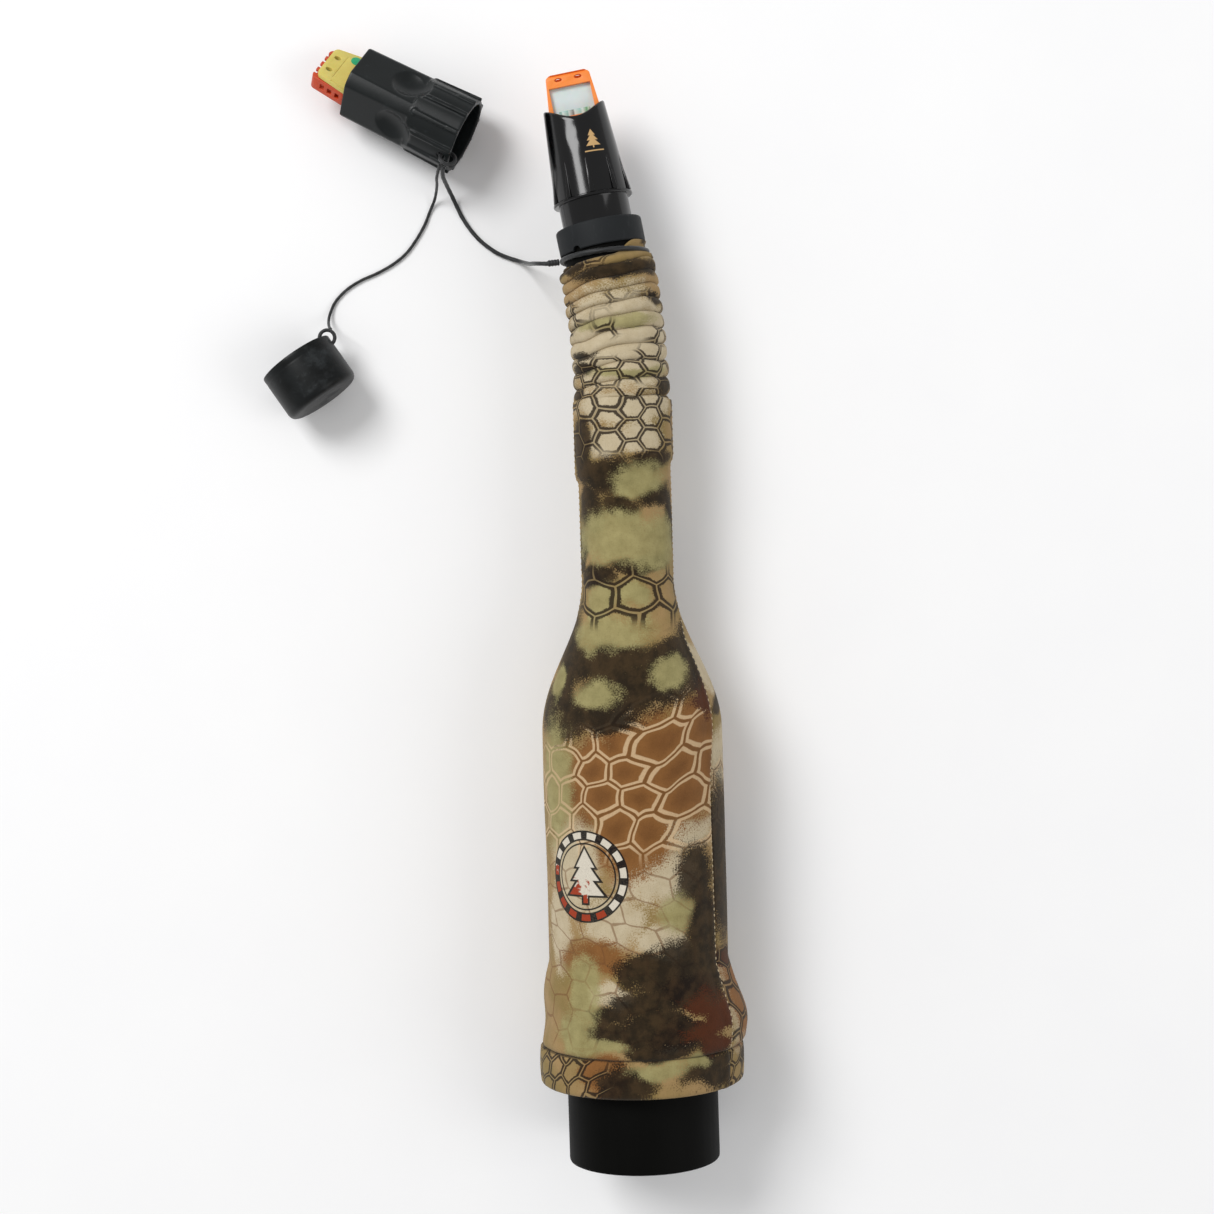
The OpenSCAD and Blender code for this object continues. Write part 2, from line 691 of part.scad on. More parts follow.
bell_tube();
bell_bush();
tube_barrel();
tube_shoulder();
tube_neck();
flex_neck();
sleeve_front();
sleeve_back();
seam_right();
seam_left();
sleeve_hem();
hem_elastic();
sleeve_gathers();
neck_elastic();
neck_ferrule();
neck_collar();
lanyard_loop();
lanyard_slip_knot();
bugle_barrel();
bugle_orings();
bugle_reed_plug();
bugle_reed_base();
bugle_reed_latex();
bugle_reed_frame();
bugle_reed_strip();
tether_barrel();
tether_reed_plug();
tether_reed_base();
tether_reed_latex();
tether_reed_frame();
tether_reed_mark();
tether_knot();
mouth_cap();
cap_knot();
lanyard_cord_long();
lanyard_cord_short();
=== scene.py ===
"""A mouth-blown bugle tube in a printed cloth sleeve, with two reed calls on a lanyard."""
import math

import bpy
import numpy as np
from mathutils import Matrix, Vector, noise


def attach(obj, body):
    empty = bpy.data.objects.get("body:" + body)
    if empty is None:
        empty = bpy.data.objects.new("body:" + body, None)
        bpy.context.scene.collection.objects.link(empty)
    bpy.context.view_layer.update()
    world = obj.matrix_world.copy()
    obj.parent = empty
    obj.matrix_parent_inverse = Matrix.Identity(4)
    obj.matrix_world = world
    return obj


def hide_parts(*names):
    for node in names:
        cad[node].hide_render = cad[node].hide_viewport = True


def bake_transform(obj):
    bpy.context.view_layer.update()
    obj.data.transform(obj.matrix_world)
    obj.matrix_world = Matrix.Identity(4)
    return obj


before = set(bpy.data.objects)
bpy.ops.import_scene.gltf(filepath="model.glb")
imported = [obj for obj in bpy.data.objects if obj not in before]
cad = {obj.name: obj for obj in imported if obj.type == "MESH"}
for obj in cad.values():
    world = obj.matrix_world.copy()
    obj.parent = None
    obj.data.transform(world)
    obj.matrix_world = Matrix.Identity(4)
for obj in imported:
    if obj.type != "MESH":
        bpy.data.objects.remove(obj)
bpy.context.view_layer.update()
bpy.ops.object.select_all(action="DESELECT")

# ---- Camera ------------------------------------------------------------------------------
# A camera held over the table, looking straight down, with its top edge turned a little off
# the tube's line.

lens = bpy.data.cameras.new("overhead")
lens.lens = 63.6
lens.sensor_width = 36
overhead = bpy.data.objects.new("overhead", lens)
bpy.context.scene.collection.objects.link(overhead)
overhead.matrix_world = (Matrix.Translation((-0.0107, 0.2754, 1.073))
                         @ Matrix.Rotation(math.radians(-1.73), 4, "Z"))
bpy.context.scene.camera = overhead

# ---- Lanyard cords -----------------------------------------------------------------------
# Black braided polyester cord, limp. A 2.2 mm length runs from the slip knot at the tube's
# neck down to the table and up to the second call; a thinner one goes on to the cap.

LONG_ROUTE = [
    (-35.8, 448, 0), (-38.5, 448.3, -1.4), (-41, 449, -5), (-43, 450, -11), (-44.5, 451, -18),
    (-46, 452.5, -26), (-47.5, 454, -33), (-49.5, 455.5, -39), (-52.5, 457, -42),
    (-56.5, 458.5, -42.8), (-62, 461, -42.8), (-67, 464.5, -42.8), (-71.5, 468.5, -42.8),
    (-76, 474, -42.8), (-80, 480.5, -42.8), (-82.5, 486, -42.4), (-84.5, 490.5, -39.5),
    (-86, 493.5, -34), (-87, 495.5, -27), (-87.6, 497, -20), (-87.4, 499, -15),
    (-86.9, 500.3, -12.4)]
SHORT_ROUTE = [
    (-88.4, 501.7, -12.2), (-89.5, 500, -15.5), (-91, 497, -22), (-91.5, 495, -29),
    (-92.5, 492.5, -36), (-94, 489, -41), (-96.5, 484, -43), (-99.5, 477, -43),
    (-104, 469.5, -43), (-109.5, 462.5, -43), (-116.5, 457, -43), (-125, 452.5, -43),
    (-133.5, 449, -43), (-141, 444.5, -43), (-147, 438.5, -43), (-150, 432, -42),
    (-150.5, 427.5, -39), (-149.5, 424, -33.5), (-148.2, 422.4, -28.5), (-148.2, 422.2, -26)]


def laid_line(route, step=0.0006, closed=False):
    """Points a step apart along a soft curve through a route given in millimetres."""
    points = [Vector(p) / 1000 for p in route]
    count = len(points)
    fine = []
    for i in range(count if closed else count - 1):
        a, b, c, d = (points[(i + k) % count] if closed else points[min(max(i + k, 0), count - 1)]
                      for k in (-1, 0, 1, 2))
        for t in (0, 0.125, 0.25, 0.375, 0.5, 0.625, 0.75, 0.875):
            fine.append(0.5 * (2 * b + (c - a) * t + (2 * a - 5 * b + 4 * c - d) * t * t
                               + (3 * b - a - 3 * c + d) * t ** 3))
    fine.append(points[0] if closed else points[-1])
    gone = np.concatenate([[0], np.cumsum([(q - p).length for p, q in zip(fine, fine[1:])])])
    marks = np.linspace(0, gone[-1], max(8, round(gone[-1] / step)) + 1)
    xyz = np.array(fine)
    return [Vector(p) for p in np.stack([np.interp(marks, gone, xyz[:, k]) for k in range(3)], 1)]


def braid(name, line, radius, closed=False, sides=18, pitch=0.0052):
    """A braided cord along a line: two sets of strands wound opposite ways."""
    if closed:
        line = line[:-1]
    count = len(line)
    ahead = [((line[(i + 1) % count] if closed else line[min(i + 1, count - 1)])
              - (line[i - 1] if closed or i else line[0])).normalized() for i in range(count)]
    side = ahead[0].orthogonal().normalized()
    points, gone = [], 0
    for i, (at, way) in enumerate(zip(line, ahead)):
        side = (side - way * side.dot(way)).normalized()
        up = way.cross(side)
        gone += (line[i] - line[i - 1]).length if i else 0
        for k in range(sides):
            turn = 2 * math.pi * k / sides
            lay = 2 * math.pi * gone / pitch
            strand = max(math.sin(4 * turn + lay), math.sin(4 * turn - lay))
            r = radius * (0.955 + 0.045 * strand)
            points.append(at + r * (math.cos(turn) * side + math.sin(turn) * up))
    rings = count if closed else count - 1
    faces = [(i * sides + k, i * sides + (k + 1) % sides,
              (i + 1) % count * sides + (k + 1) % sides, (i + 1) % count * sides + k)
             for i in range(rings) for k in range(sides)]
    if not closed:
        faces += [tuple(range(sides))[::-1], tuple(range((count - 1) * sides, count * sides))]
    mesh = bpy.data.meshes.new(name)
    mesh.from_pydata(points, [], faces)
    mesh.uv_layers.new(name="lay")
    turns = np.array([[(loop.vertex_index % sides) / sides, loop.vertex_index // sides * 0.1]
                      for loop in mesh.loops])
    mesh.uv_layers["lay"].data.foreach_set("uv", turns.ravel().astype(np.float32))
    mesh.shade_smooth()
    piece = bpy.data.objects.new(name, mesh)
    bpy.context.scene.collection.objects.link(piece)
    return piece


class Ink:
    """What one socket of a material gives; sums and products of inks add the nodes for them."""

    def __init__(self, tree, socket=None):
        self.tree, self.socket = tree, socket

    def node(self, kind, settings, *values, output=0, **named):
        made = self.tree.nodes.new("ShaderNode" + kind)
        for name, value in settings.items():
            if name == "stops":
                stops = made.color_ramp.elements
                for _ in value[2:]:
                    stops.new(1)
                for stop, (place, colour) in zip(stops, value):
                    stop.position, stop.color = place, colour
            else:
                setattr(made, name, value)
        given = [*zip(made.inputs, values),
                 *((made.inputs[n.replace("_", " ")], v) for n, v in named.items())]
        for socket, value in given:
            if isinstance(value, Ink):
                self.tree.links.new(value.socket, socket)
            elif value is not None:
                socket.default_value = value
        return Ink(self.tree, made.outputs[output])

    def maths(self, operation, *values):
        return self.node("Math", {"operation": operation}, *values)

    def __add__(self, other):
        return self.maths("ADD", self, other)

    def __sub__(self, other):
        return self.maths("SUBTRACT", self, other)

    def __rsub__(self, other):
        return self.maths("SUBTRACT", other, self)

    def __mul__(self, other):
        return self.maths("MULTIPLY", self, other)

    def __truediv__(self, other):
        return self.maths("DIVIDE", self, other)

    def __abs__(self):
        return self.maths("ABSOLUTE", self)

    __radd__, __rmul__ = __add__, __mul__

    def least(self, other):
        return self.maths("MINIMUM", self, other)

    def most(self, other):
        return self.maths("MAXIMUM", self, other)

    def rise(self, low, high):
        """0 below low, 1 above high, and soft between; falls if high is the lower one."""
        if low > high:
            return 1.0 - self.rise(high, low)
        return self.node("MapRange", {"interpolation_type": "SMOOTHSTEP"}, self, low, high,
                         0.0, 1.0)

    def over(self, without, with_it):
        """One colour where this is 0 and the other where it is 1."""
        return self.node("Mix", {"data_type": "RGBA"}, self, None, None, None, None, None,
                         without, with_it, output=2)

    def axis(self, which):
        return self.node("SeparateXYZ", {}, self, output="XYZ".index(which))

    def grain(self, scale, detail=3.0, rough=0.55, stretch=None):
        """Cloudy noise, about 0.5, on this place; stretch shrinks its pattern along each axis."""
        place = self if stretch is None else self.node(
            "VectorMath", {"operation": "MULTIPLY"}, self, stretch)
        return self.node("TexNoise", {}, Vector=place, Scale=scale, Detail=detail,
                         Roughness=rough)

    def into(self, shader, socket):
        self.tree.links.new(self.socket, shader.inputs[socket])

    def relief(self, shader, depth, strength=1.0):
        """Uses this as the height of the surface, depth metres for 1."""
        self.node("Bump", {}, Strength=strength, Distance=depth, Height=self).into(
            shader, "Normal")


def paint(red, green, blue):
    """A colour given 0 to 255, in the shader's own numbers."""
    return tuple(v / 255 / 12.92 if v < 10.3 else ((v / 255 + 0.055) / 1.055) ** 2.4
                 for v in (red, green, blue)) + (1.0,)


def finish(name, **fixed):
    """A new material, an ink to build with, and its shader with the settings given."""
    made = bpy.data.materials.new(name)
    made.use_nodes = True
    shader = made.node_tree.nodes["Principled BSDF"]
    for socket, value in fixed.items():
        shader.inputs[socket.replace("_", " ")].default_value = value
    return made, Ink(made.node_tree), shader


cord_black, ink, shader = finish("cord_black", Sheen_Weight=0.25, Sheen_Roughness=0.4)
lay = ink.node("UVMap", {"uv_map": "lay"})
strands = ((lay.axis("X") * 4.0 + lay.axis("Y") * 0.46).maths("SINE", (
    lay.axis("X") * 25.13 + lay.axis("Y") * 2.9)) + 1.0) * 0.5
fibres = lay.grain(60.0, 3.0)
(strands * 0.6 + fibres * 0.4).over(paint(9, 10, 11), paint(34, 36, 38)).into(
    shader, "Base Color")
(fibres * 0.25 + 0.42).into(shader, "Roughness")
(strands + fibres * 0.5).relief(shader, 0.00012, 0.6)

long_line = laid_line(LONG_ROUTE)
long_cord = braid("lanyard_long", long_line, 0.0011)
long_cord.data.materials.append(cord_black)
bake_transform(long_cord)
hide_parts("lanyard_cord_long")

short_line = laid_line(SHORT_ROUTE)
short_cord = braid("lanyard_short", short_line, 0.0008, pitch=0.0042)
short_cord.data.materials.append(cord_black)
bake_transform(short_cord)
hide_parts("lanyard_cord_short")

# ---- Table and light ---------------------------------------------------------------------
# A plain pale table top under a large soft lamp at the upper left, with a weaker one at the
# right and an even white surround.

bpy.ops.mesh.primitive_plane_add(size=8, location=(0, 0.28, -0.0441))
table_top = bpy.context.object
table_top.name = "table_top"
pale_board, ink, shader = finish("pale_board", Roughness=0.7, Specular_IOR_Level=0.2)
ink.node("TexCoord", {}, output=3).grain(14.0).over(
    paint(250, 250, 250), paint(246, 246, 247)).into(shader, "Base Color")
table_top.data.materials.append(pale_board)

for name, place, aim, size, power in (
        ("key_lamp", (-1.5, 1.7, 2.4), (0, 0.3, 0), 1.3, 60),
        ("side_lamp", (2.1, -0.3, 1.9), (0, 0.3, 0), 1.6, 15)):
    lamp = bpy.data.lights.new(name, "AREA")
    lamp.size = size
    lamp.energy = power
    lamp_object = bpy.data.objects.new(name, lamp)
    bpy.context.scene.collection.objects.link(lamp_object)
    away = Vector(place) - Vector(aim)
    lamp_object.matrix_world = (Matrix.Translation(place)
                                @ away.to_track_quat("Z", "Y").to_matrix().to_4x4())
surround = bpy.data.worlds.new("surround")
surround.use_nodes = True
surround.node_tree.nodes["Background"].inputs["Color"].default_value = (1, 1, 1, 1)
surround.node_tree.nodes["Background"].inputs["Strength"].default_value = 0.5
bpy.context.scene.world = surround
bpy.context.scene.view_settings.view_transform = "Standard"

# ---- Bell tube ---------------------------------------------------------------------------
# The tube's open end: an extruded black ABS tube with a rounded rim and a raised band that
# grips the barrel's bush inside the sleeve.

black_moulding, ink, shader = finish("black_moulding", Specular_IOR_Level=0.06)
spot = ink.node("TexCoord", {}, output=3)
cloud, pits = spot.grain(35.0, 4.0), spot.grain(1900.0, 2.0)
draw_lines = spot.grain(260.0, 3.0, 0.6, (1.0, 0.04, 1.0))
(cloud * 0.6 + draw_lines * 0.4).over(paint(3, 3, 2), paint(11, 11, 9)).into(
    shader, "Base Color")
(cloud * 0.2 + draw_lines * 0.15 + 0.4).into(shader, "Roughness")
(pits * 0.5 + draw_lines * 0.5).relief(shader, 0.00008, 0.5)


def turned(name, outline, sides, place, angle=32):
    """A piece drawn out ring by ring from (radius, height) pairs in millimetres, about local Z."""
    (radius, height), *rest = outline
    bpy.ops.mesh.primitive_circle_add(vertices=sides, radius=radius, location=(0, 0, height))
    piece = bpy.context.object
    piece.name = piece.data.name = name
    bpy.ops.object.mode_set(mode="EDIT")
    bpy.ops.mesh.select_all(action="SELECT")
    for wide, high in rest:
        wide = max(wide, 1e-4)
        bpy.ops.mesh.extrude_region_move(
            TRANSFORM_OT_translate={"value": (0, 0, high - height)})
        bpy.ops.transform.resize(value=(wide / radius, wide / radius, 1))
        radius, height = wide, high
    bpy.ops.mesh.select_all(action="SELECT")
    bpy.ops.mesh.remove_doubles(threshold=0.002)
    bpy.ops.mesh.normals_make_consistent(inside=False)
    bpy.ops.object.mode_set(mode="OBJECT")
    seat(piece, place)
    bpy.ops.object.shade_smooth_by_angle(angle=math.radians(angle))
    return piece


def seat(piece, place):
    """Puts a piece modelled in millimetres into its place, with its object at the origin."""
    bpy.context.view_layer.update()
    piece.data.transform(place @ Matrix.Scale(0.001, 4) @ piece.matrix_world)
    piece.matrix_world = Matrix.Identity(4)


def hand_over(piece, material, body, slot, *nodes):
    """Gives a piece its material, its body and the nodes that it stands for; slot is not used."""
    piece.data.materials.clear()
    piece.data.materials.append(material)
    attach(piece, body)
    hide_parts(*nodes)
    piece.select_set(False)


# local Z runs along the tube from its bell, local Y points up
ALONG_TUBE = Matrix.Rotation(math.pi, 4, "Z") @ Matrix.Rotation(math.pi / 2, 4, "X")
bell = turned("bell_tube_body", [
    (35, 1.2), (35.25, 0.5), (35.8, 0.1), (36.6, 0), (37.1, 0.25), (37.4, 0.8), (37.5, 1.6),
    (37.5, 36), (37.46, 36.6), (37.5, 37.2), (37.5, 57.4), (37.9, 58), (39.6, 58.1), (40, 58.6),
    (40, 72.4), (39.6, 73), (35.4, 73), (35, 72.6), (35, 1.2)], 160, ALONG_TUBE)
hand_over(bell, black_moulding, "tube", "black_moulding", "bell_tube")

# ---- Barrel, bush and hose ---------------------------------------------------------------
# Inside the sleeve: a blow-moulded black barrel with its shoulder and neck, the rubber bush
# that seals the bell in it, and the corrugated hose of the bending neck.


def repaint(material, *names):
    """Gives CAD nodes that stay as they are their material."""
    for name in names:
        cad[name].data.materials.clear()
        cad[name].data.materials.append(material)


repaint(black_moulding, "tube_barrel", "tube_shoulder", "tube_neck", "neck_ferrule")

black_rubber, ink, shader = finish("black_rubber", Specular_IOR_Level=0.2)
spot = ink.node("TexCoord", {}, output=3)
cloud, pits = spot.grain(60.0, 4.0), spot.grain(2600.0, 2.0, 0.7)
scuff = spot.grain(210.0, 5.0, 0.7, (1.0, 0.25, 1.0)).rise(0.56, 0.72)
dusty = cloud.over(paint(22, 24, 26), paint(33, 36, 38))
(scuff * 0.4).over(dusty, paint(52, 55, 57)).into(shader, "Base Color")
(cloud * 0.2 + 0.5).into(shader, "Roughness")
(pits + scuff * 0.6).relief(shader, 0.00007, 0.6)
repaint(black_rubber, "bell_bush")

hose_plastic, ink, shader = finish("hose_plastic", Specular_IOR_Level=0.4)
spot = ink.node("TexCoord", {}, output=3)
cloud = spot.grain(80.0, 4.0)
cloud.over(paint(10, 10, 11), paint(24, 24, 25)).into(shader, "Base Color")
(cloud * 0.25 + 0.35).into(shader, "Roughness")
spot.grain(1500.0, 2.0).relief(shader, 0.00006, 0.5)
# the hose starts at the moulded neck's end and bends to the left, all in millimetres
HOSE_FROM, HOSE_LENGTH, HOSE_BEND, BEND_RADIUS = 378, 70, math.radians(10), 401.07
NECK_FOOT, NECK_TOP = (0, 0.378, 0), (-0.00609, 0.44765, 0)
hose_outline = [(16.6, 0.2), (18.6, 0.1)]
hose_outline += [(18.3 + 0.8 * math.sin(2 * math.pi * s / 5), s)
                 for s in np.linspace(0.6, 69.4, 113).tolist()]
hose_outline += [(18.6, 69.9), (16.6, 69.8), (16.6, 0.2)]
hose = turned("corrugated_hose", hose_outline, 96, Matrix.Scale(1000, 4), 40)
for vertex in hose.data.vertices:
    x, up, along = vertex.co
    bend = HOSE_BEND * along / HOSE_LENGTH
    out = BEND_RADIUS - x
    vertex.co = (out * math.cos(bend) - BEND_RADIUS, HOSE_FROM + out * math.sin(bend), up)
seat(hose, Matrix.Identity(4))
hose.data.materials.clear()
hose.data.materials.append(hose_plastic)
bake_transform(hose)
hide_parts("flex_neck")
hose.select_set(False)

# ---- Cloth sleeve ------------------------------------------------------------------------
# Two panels of brushed knit polyester, printed with a reptile-scale camouflage and sewn up
# both sides. Each is one sheet: from inside the hem, round it, along the tube, bunched over
# the hose, and tucked under the lanyard loop.


# across and along the neck's top, which leans with the hose's bend
RIGHT, AHEAD = (0.98481, 0.17365, 0.0), (-0.17365, 0.98481, 0.0)


def settle(t):
    """0 up to t = 0, 1 from t = 1, and soft between."""
    t = min(max(t, 0), 1)
    return t * t * (3 - 2 * t)


def cloud_at(x, y, z):
    """Cloudy noise, about 0, the same in each run."""
    return noise.noise(Vector((x, y, z)))


def hang(turn, s, base):
    """Point of the cloth in mm: turn from the top towards +X, s along the tube and the hose."""
    sine, cosine = math.sin(turn), math.cos(turn)
    r = base
    if 58.5 < s < 112:
        r += 2.9 * math.exp(-((s - 71) / 12) ** 2) * sine
    if 40 < s < 80:
        pucker = math.sin(17 * turn + 5 * cloud_at(cosine, sine, s / 60))
        r += 0.22 * pucker * math.exp(-((s - 57) / 7) ** 2)
    if 58 < s < 380:
        fold = cloud_at(1.5 * cosine, 1.5 * sine, s / 70) + 0.5 * cloud_at(
            3.5 * cosine + s / 90, 3.5 * sine, s / 38)
        r += 0.55 * fold * settle((s - 58) / 20) * (0.5 if s > 290 else 1)
    if 330 < s <= 380:
        r += 1.6 * settle((s - 4.5 * sine - 341) / 5)
    if s <= HOSE_FROM:
        middle, way = Vector((0, s, 0)), Vector((1, 0, 0))
    else:
        bend = HOSE_BEND * min(s - HOSE_FROM, HOSE_LENGTH) / HOSE_LENGTH
        middle = Vector((-BEND_RADIUS * (1 - math.cos(bend)),
                         HOSE_FROM + BEND_RADIUS * math.sin(bend), 0))
        way = Vector((math.cos(bend), math.sin(bend), 0))
        middle += max(s - 448, 0) * Vector((-math.sin(bend), math.cos(bend), 0))
        if s < 449:
            shift = (1.9 * sine + 2.0 * cloud_at(1.3 * cosine, 1.3 * sine, s / 26)
                     - 1.3 * settle(-sine) * settle(-sine))
            phase = (s - HOSE_FROM - shift) / (9.4 - (s - HOSE_FROM) / 32) + 0.06
            part = abs(2 * (phase % 1) ** 0.86 - 1)
            full = 0.8 + 0.3 * cloud_at(2 * cosine, 2 * sine, math.floor(phase) * 1.7 + 9)
            r = 20.9 + 3.2 * full * (1 - part ** 3) + 0.25 * cloud_at(5 * cosine, 5 * sine,
                                                                        s / 4)
            r = r + (base - r) * settle((s - 445.5) / 3.5)
    point = middle + r * (sine * way + cosine * Vector((0, 0, 1)))
    point.z = max(point.z, -43.85 + 0.1 * cloud_at(point.x / 9, point.y / 9, 3))
    return point


def tube_radius(s):
    """The cloth's radius over the tube, barrel to neck, s millimetres from the bell's rim."""
    if s < 100:
        return 44 + 6 * math.sin(math.radians(90 + 90 * max(0, s - 66) / 34))
    return 22 + 22 * (1 + math.cos(math.pi * min(max(s - 214, 0) / 76, 1))) / 2


# stations of the cloth: place along the tube, radius there, and length along the print
STATIONS = [(57 - 2.6 * i, 46.9, 23 + 2.6 * i) for i in range(6)]
STATIONS += [(41.6 - 1.5 * math.sin(a), 48.4 - 1.5 * math.cos(a), 39 + 1.0 * a)
             for a in np.linspace(0.3, math.pi - 0.3, 7)]
STATIONS += [(s, 49.9 + 0.35 * math.sin(math.pi * (s - 41.6) / 15.4), s)
             for s in np.linspace(42, 56.4, 11)]
STATIONS += [(57.2, 49.3, 57.2), (57.7, 48.4, 57.7), (58.1, 47.9, 58.1), (58.6, 48.6, 58.6),
             (59.4, 49.5, 59.4)]
STATIONS += [(s, tube_radius(s), s) for s in np.arange(60.5, 376, 1.75)]
STATIONS += [(s, 22.0, HOSE_FROM + 1.5 * (s - HOSE_FROM)) for s in np.arange(377, 449, 0.55)]
STATIONS = [tuple(map(float, station)) for station in STATIONS]


def right_seam(s):
    """The right seam's angle from the top: it turns under as the tube narrows."""
    return math.radians(57 + 5 * settle((s - 185) / 35) + 30 * settle((s - 256) / 30))


def blotch(u, v, spots):
    """How far inside the nearest of some oval areas a place is, 1 at a middle, 0 at an edge."""
    best = -1
    for x, y, wide, tall, *lean in spots:
        c, d = math.cos(math.radians(sum(lean))), math.sin(math.radians(sum(lean)))
        across, along = (u - x) * c + (v - y) * d, (v - y) * c - (u - x) * d
        best = max(best, 1 - math.hypot(across / wide, along / tall))
    return best


PRINT = {
    "front": {
        "brown": [(14, 196, 54, 28, 5), (-2, 166, 20, 20), (-12, 190, 30, 24), (36, 208, 26, 26),
                  (-20, 50, 14, 9), (-22, 106, 20, 9)],
        "rust": [(28, 87, 20, 8, -10), (24, 70, 19, 8, 6), (44, 78, 12, 8), (42, 236, 8, 16),
                 (36, 62, 12, 6)],
        "dark": [(-40, 225, 22, 15), (-16, 222, 20, 9), (-2, 236, 24, 14), (16, 240, 18, 13),
                 (36, 252, 13, 19, -14), (-14, 249, 32, 9), (-37, 252, 12, 24), (22, 250, 20, 9),
                 (6, 296, 17, 5), (-18, 291, 12, 8), (-20, 324, 10, 14), (-2, 325, 10, 8),
                 (18, 330, 12, 6), (-10, 340, 18, 9), (-24, 352, 9, 18), (13, 346, 12, 5),
                 (-28, 304, 6, 13), (28, 318, 7, 16), (31, 144, 13, 16), (36, 122, 12, 24),
                 (38, 100, 16, 14), (23, 103, 20, 12), (4, 101, 16, 9), (16, 93, 20, 8),
                 (2, 84, 20, 7), (-16, 80, 12, 4), (8, 76, 22, 5), (-18, 71, 13, 6),
                 (2, 70, 19, 7), (8, 62, 20, 5), (-8, 47, 16, 8), (40, 50, 22, 9),
                 # painted shade: the thin spot at (8, 471) darkens one bunched roll where shade
                 # falls; the rest of this list is print
                 (-22, 400, 8, 6), (-21, 412, 9, 5), (8, 471, 30, 6), (-22, 480, 14, 5),
                 (25, 450, 6, 6), (25, 387, 6, 6), (-25, 384, 6, 4)],
        "pale": [(22, 165, 21, 8), (11, 145, 19, 14), (-12, 124, 15, 13), (12, 114, 13, 9),
                 (-14, 89, 11, 6), (16, 65, 8, 4), (-7, 357, 10, 8), (9, 359, 10, 9),
                 (0, 374, 26, 8), (0, 420, 36, 40), (-46, 120, 10, 20), (-34, 150, 16, 24)],
        "olive": [(-17, 233, 11, 6.5), (19, 242, 10, 7), (-44, 238, 5, 7), (-10, 263, 20, 9),
                  (3, 281, 10, 7), (-6, 310, 26, 12), (16, 306, 14, 14), (8, 338, 13, 7),
                  (-29, 90, 9, 18), (-37, 70, 11, 9), (-23, 64, 14, 4), (18, 127, 8, 9),
                  (7, 53, 13, 4), (27, 55, 9, 2.5), (-45, 190, 12, 30), (-2, 434, 22, 5),
                  (4, 396, 20, 4), (-16, 276, 8, 9)],
    },
    "back": {
        "brown": [(-10, 190, 34, 26), (60, 190, 20, 26), (50, 52, 22, 10), (-84, 78, 18, 22)],
        "rust": [(46, 150, 18, 14), (10, 86, 20, 8), (-84, 101, 16, 6)],
        "dark": [(-82, 150, 24, 42), (-40, 140, 30, 24), (6, 226, 20, 6, 30), (30, 120, 20, 24),
                 (20, 60, 20, 7), (-74, 227, 16, 4, 20), (-14, 300, 12, 20), (16, 330, 14, 10),
                 (30, 170, 18, 9), (10, 250, 18, 10), (0, 440, 24, 6), (-14, 400, 10, 14),
                 (-40, 410, 6, 60), (-80, 52, 18, 5)],
        "pale": [(-82, 78, 26, 24), (-76, 200, 22, 14), (-70, 246, 22, 14), (60, 60, 18, 20),
                 (-10, 345, 16, 14), (4, 410, 24, 20), (-34, 360, 12, 14)],
        "olive": [(36, 210, 22, 14), (40, 90, 18, 14), (6, 280, 14, 12), (0, 360, 20, 12),
                  (24, 420, 12, 12), (-20, 100, 20, 12), (-66, 270, 12, 12)],
    },
}


def scales(u, v):
    """Place on the net of scales, in cells; each part of the print has its own size and lean."""
    u += 4.0 * cloud_at(u / 24, v / 24, 1) + 1.5 * cloud_at(u / 9, v / 9, 5)
    v += 4.0 * cloud_at(u / 24, v / 24, 7) + 1.5 * cloud_at(u / 9, v / 9, 11)
    if v > 332:
        return 40.3 + v / 11.6, 40.4 + u / 12.4
    if v > 240:
        return 40 + (u - 3) / 21, 24 * math.sqrt(3) + (v - 281) / 16
    if v < 58.5:
        return 40 + (v - 0.5 * u) / 9.5, 40.3 + (u + 0.3 * v) / 15
    lean = math.radians(22 - 16 * settle((150 - v) / 60))
    across = u * math.cos(lean) + v * math.sin(lean) - 74
    along = v * math.cos(lean) - u * math.sin(lean)
    across *= 1 if across > 0 else 1.7
    return 40.2 + along / 15.5, 40.1 + across / 30


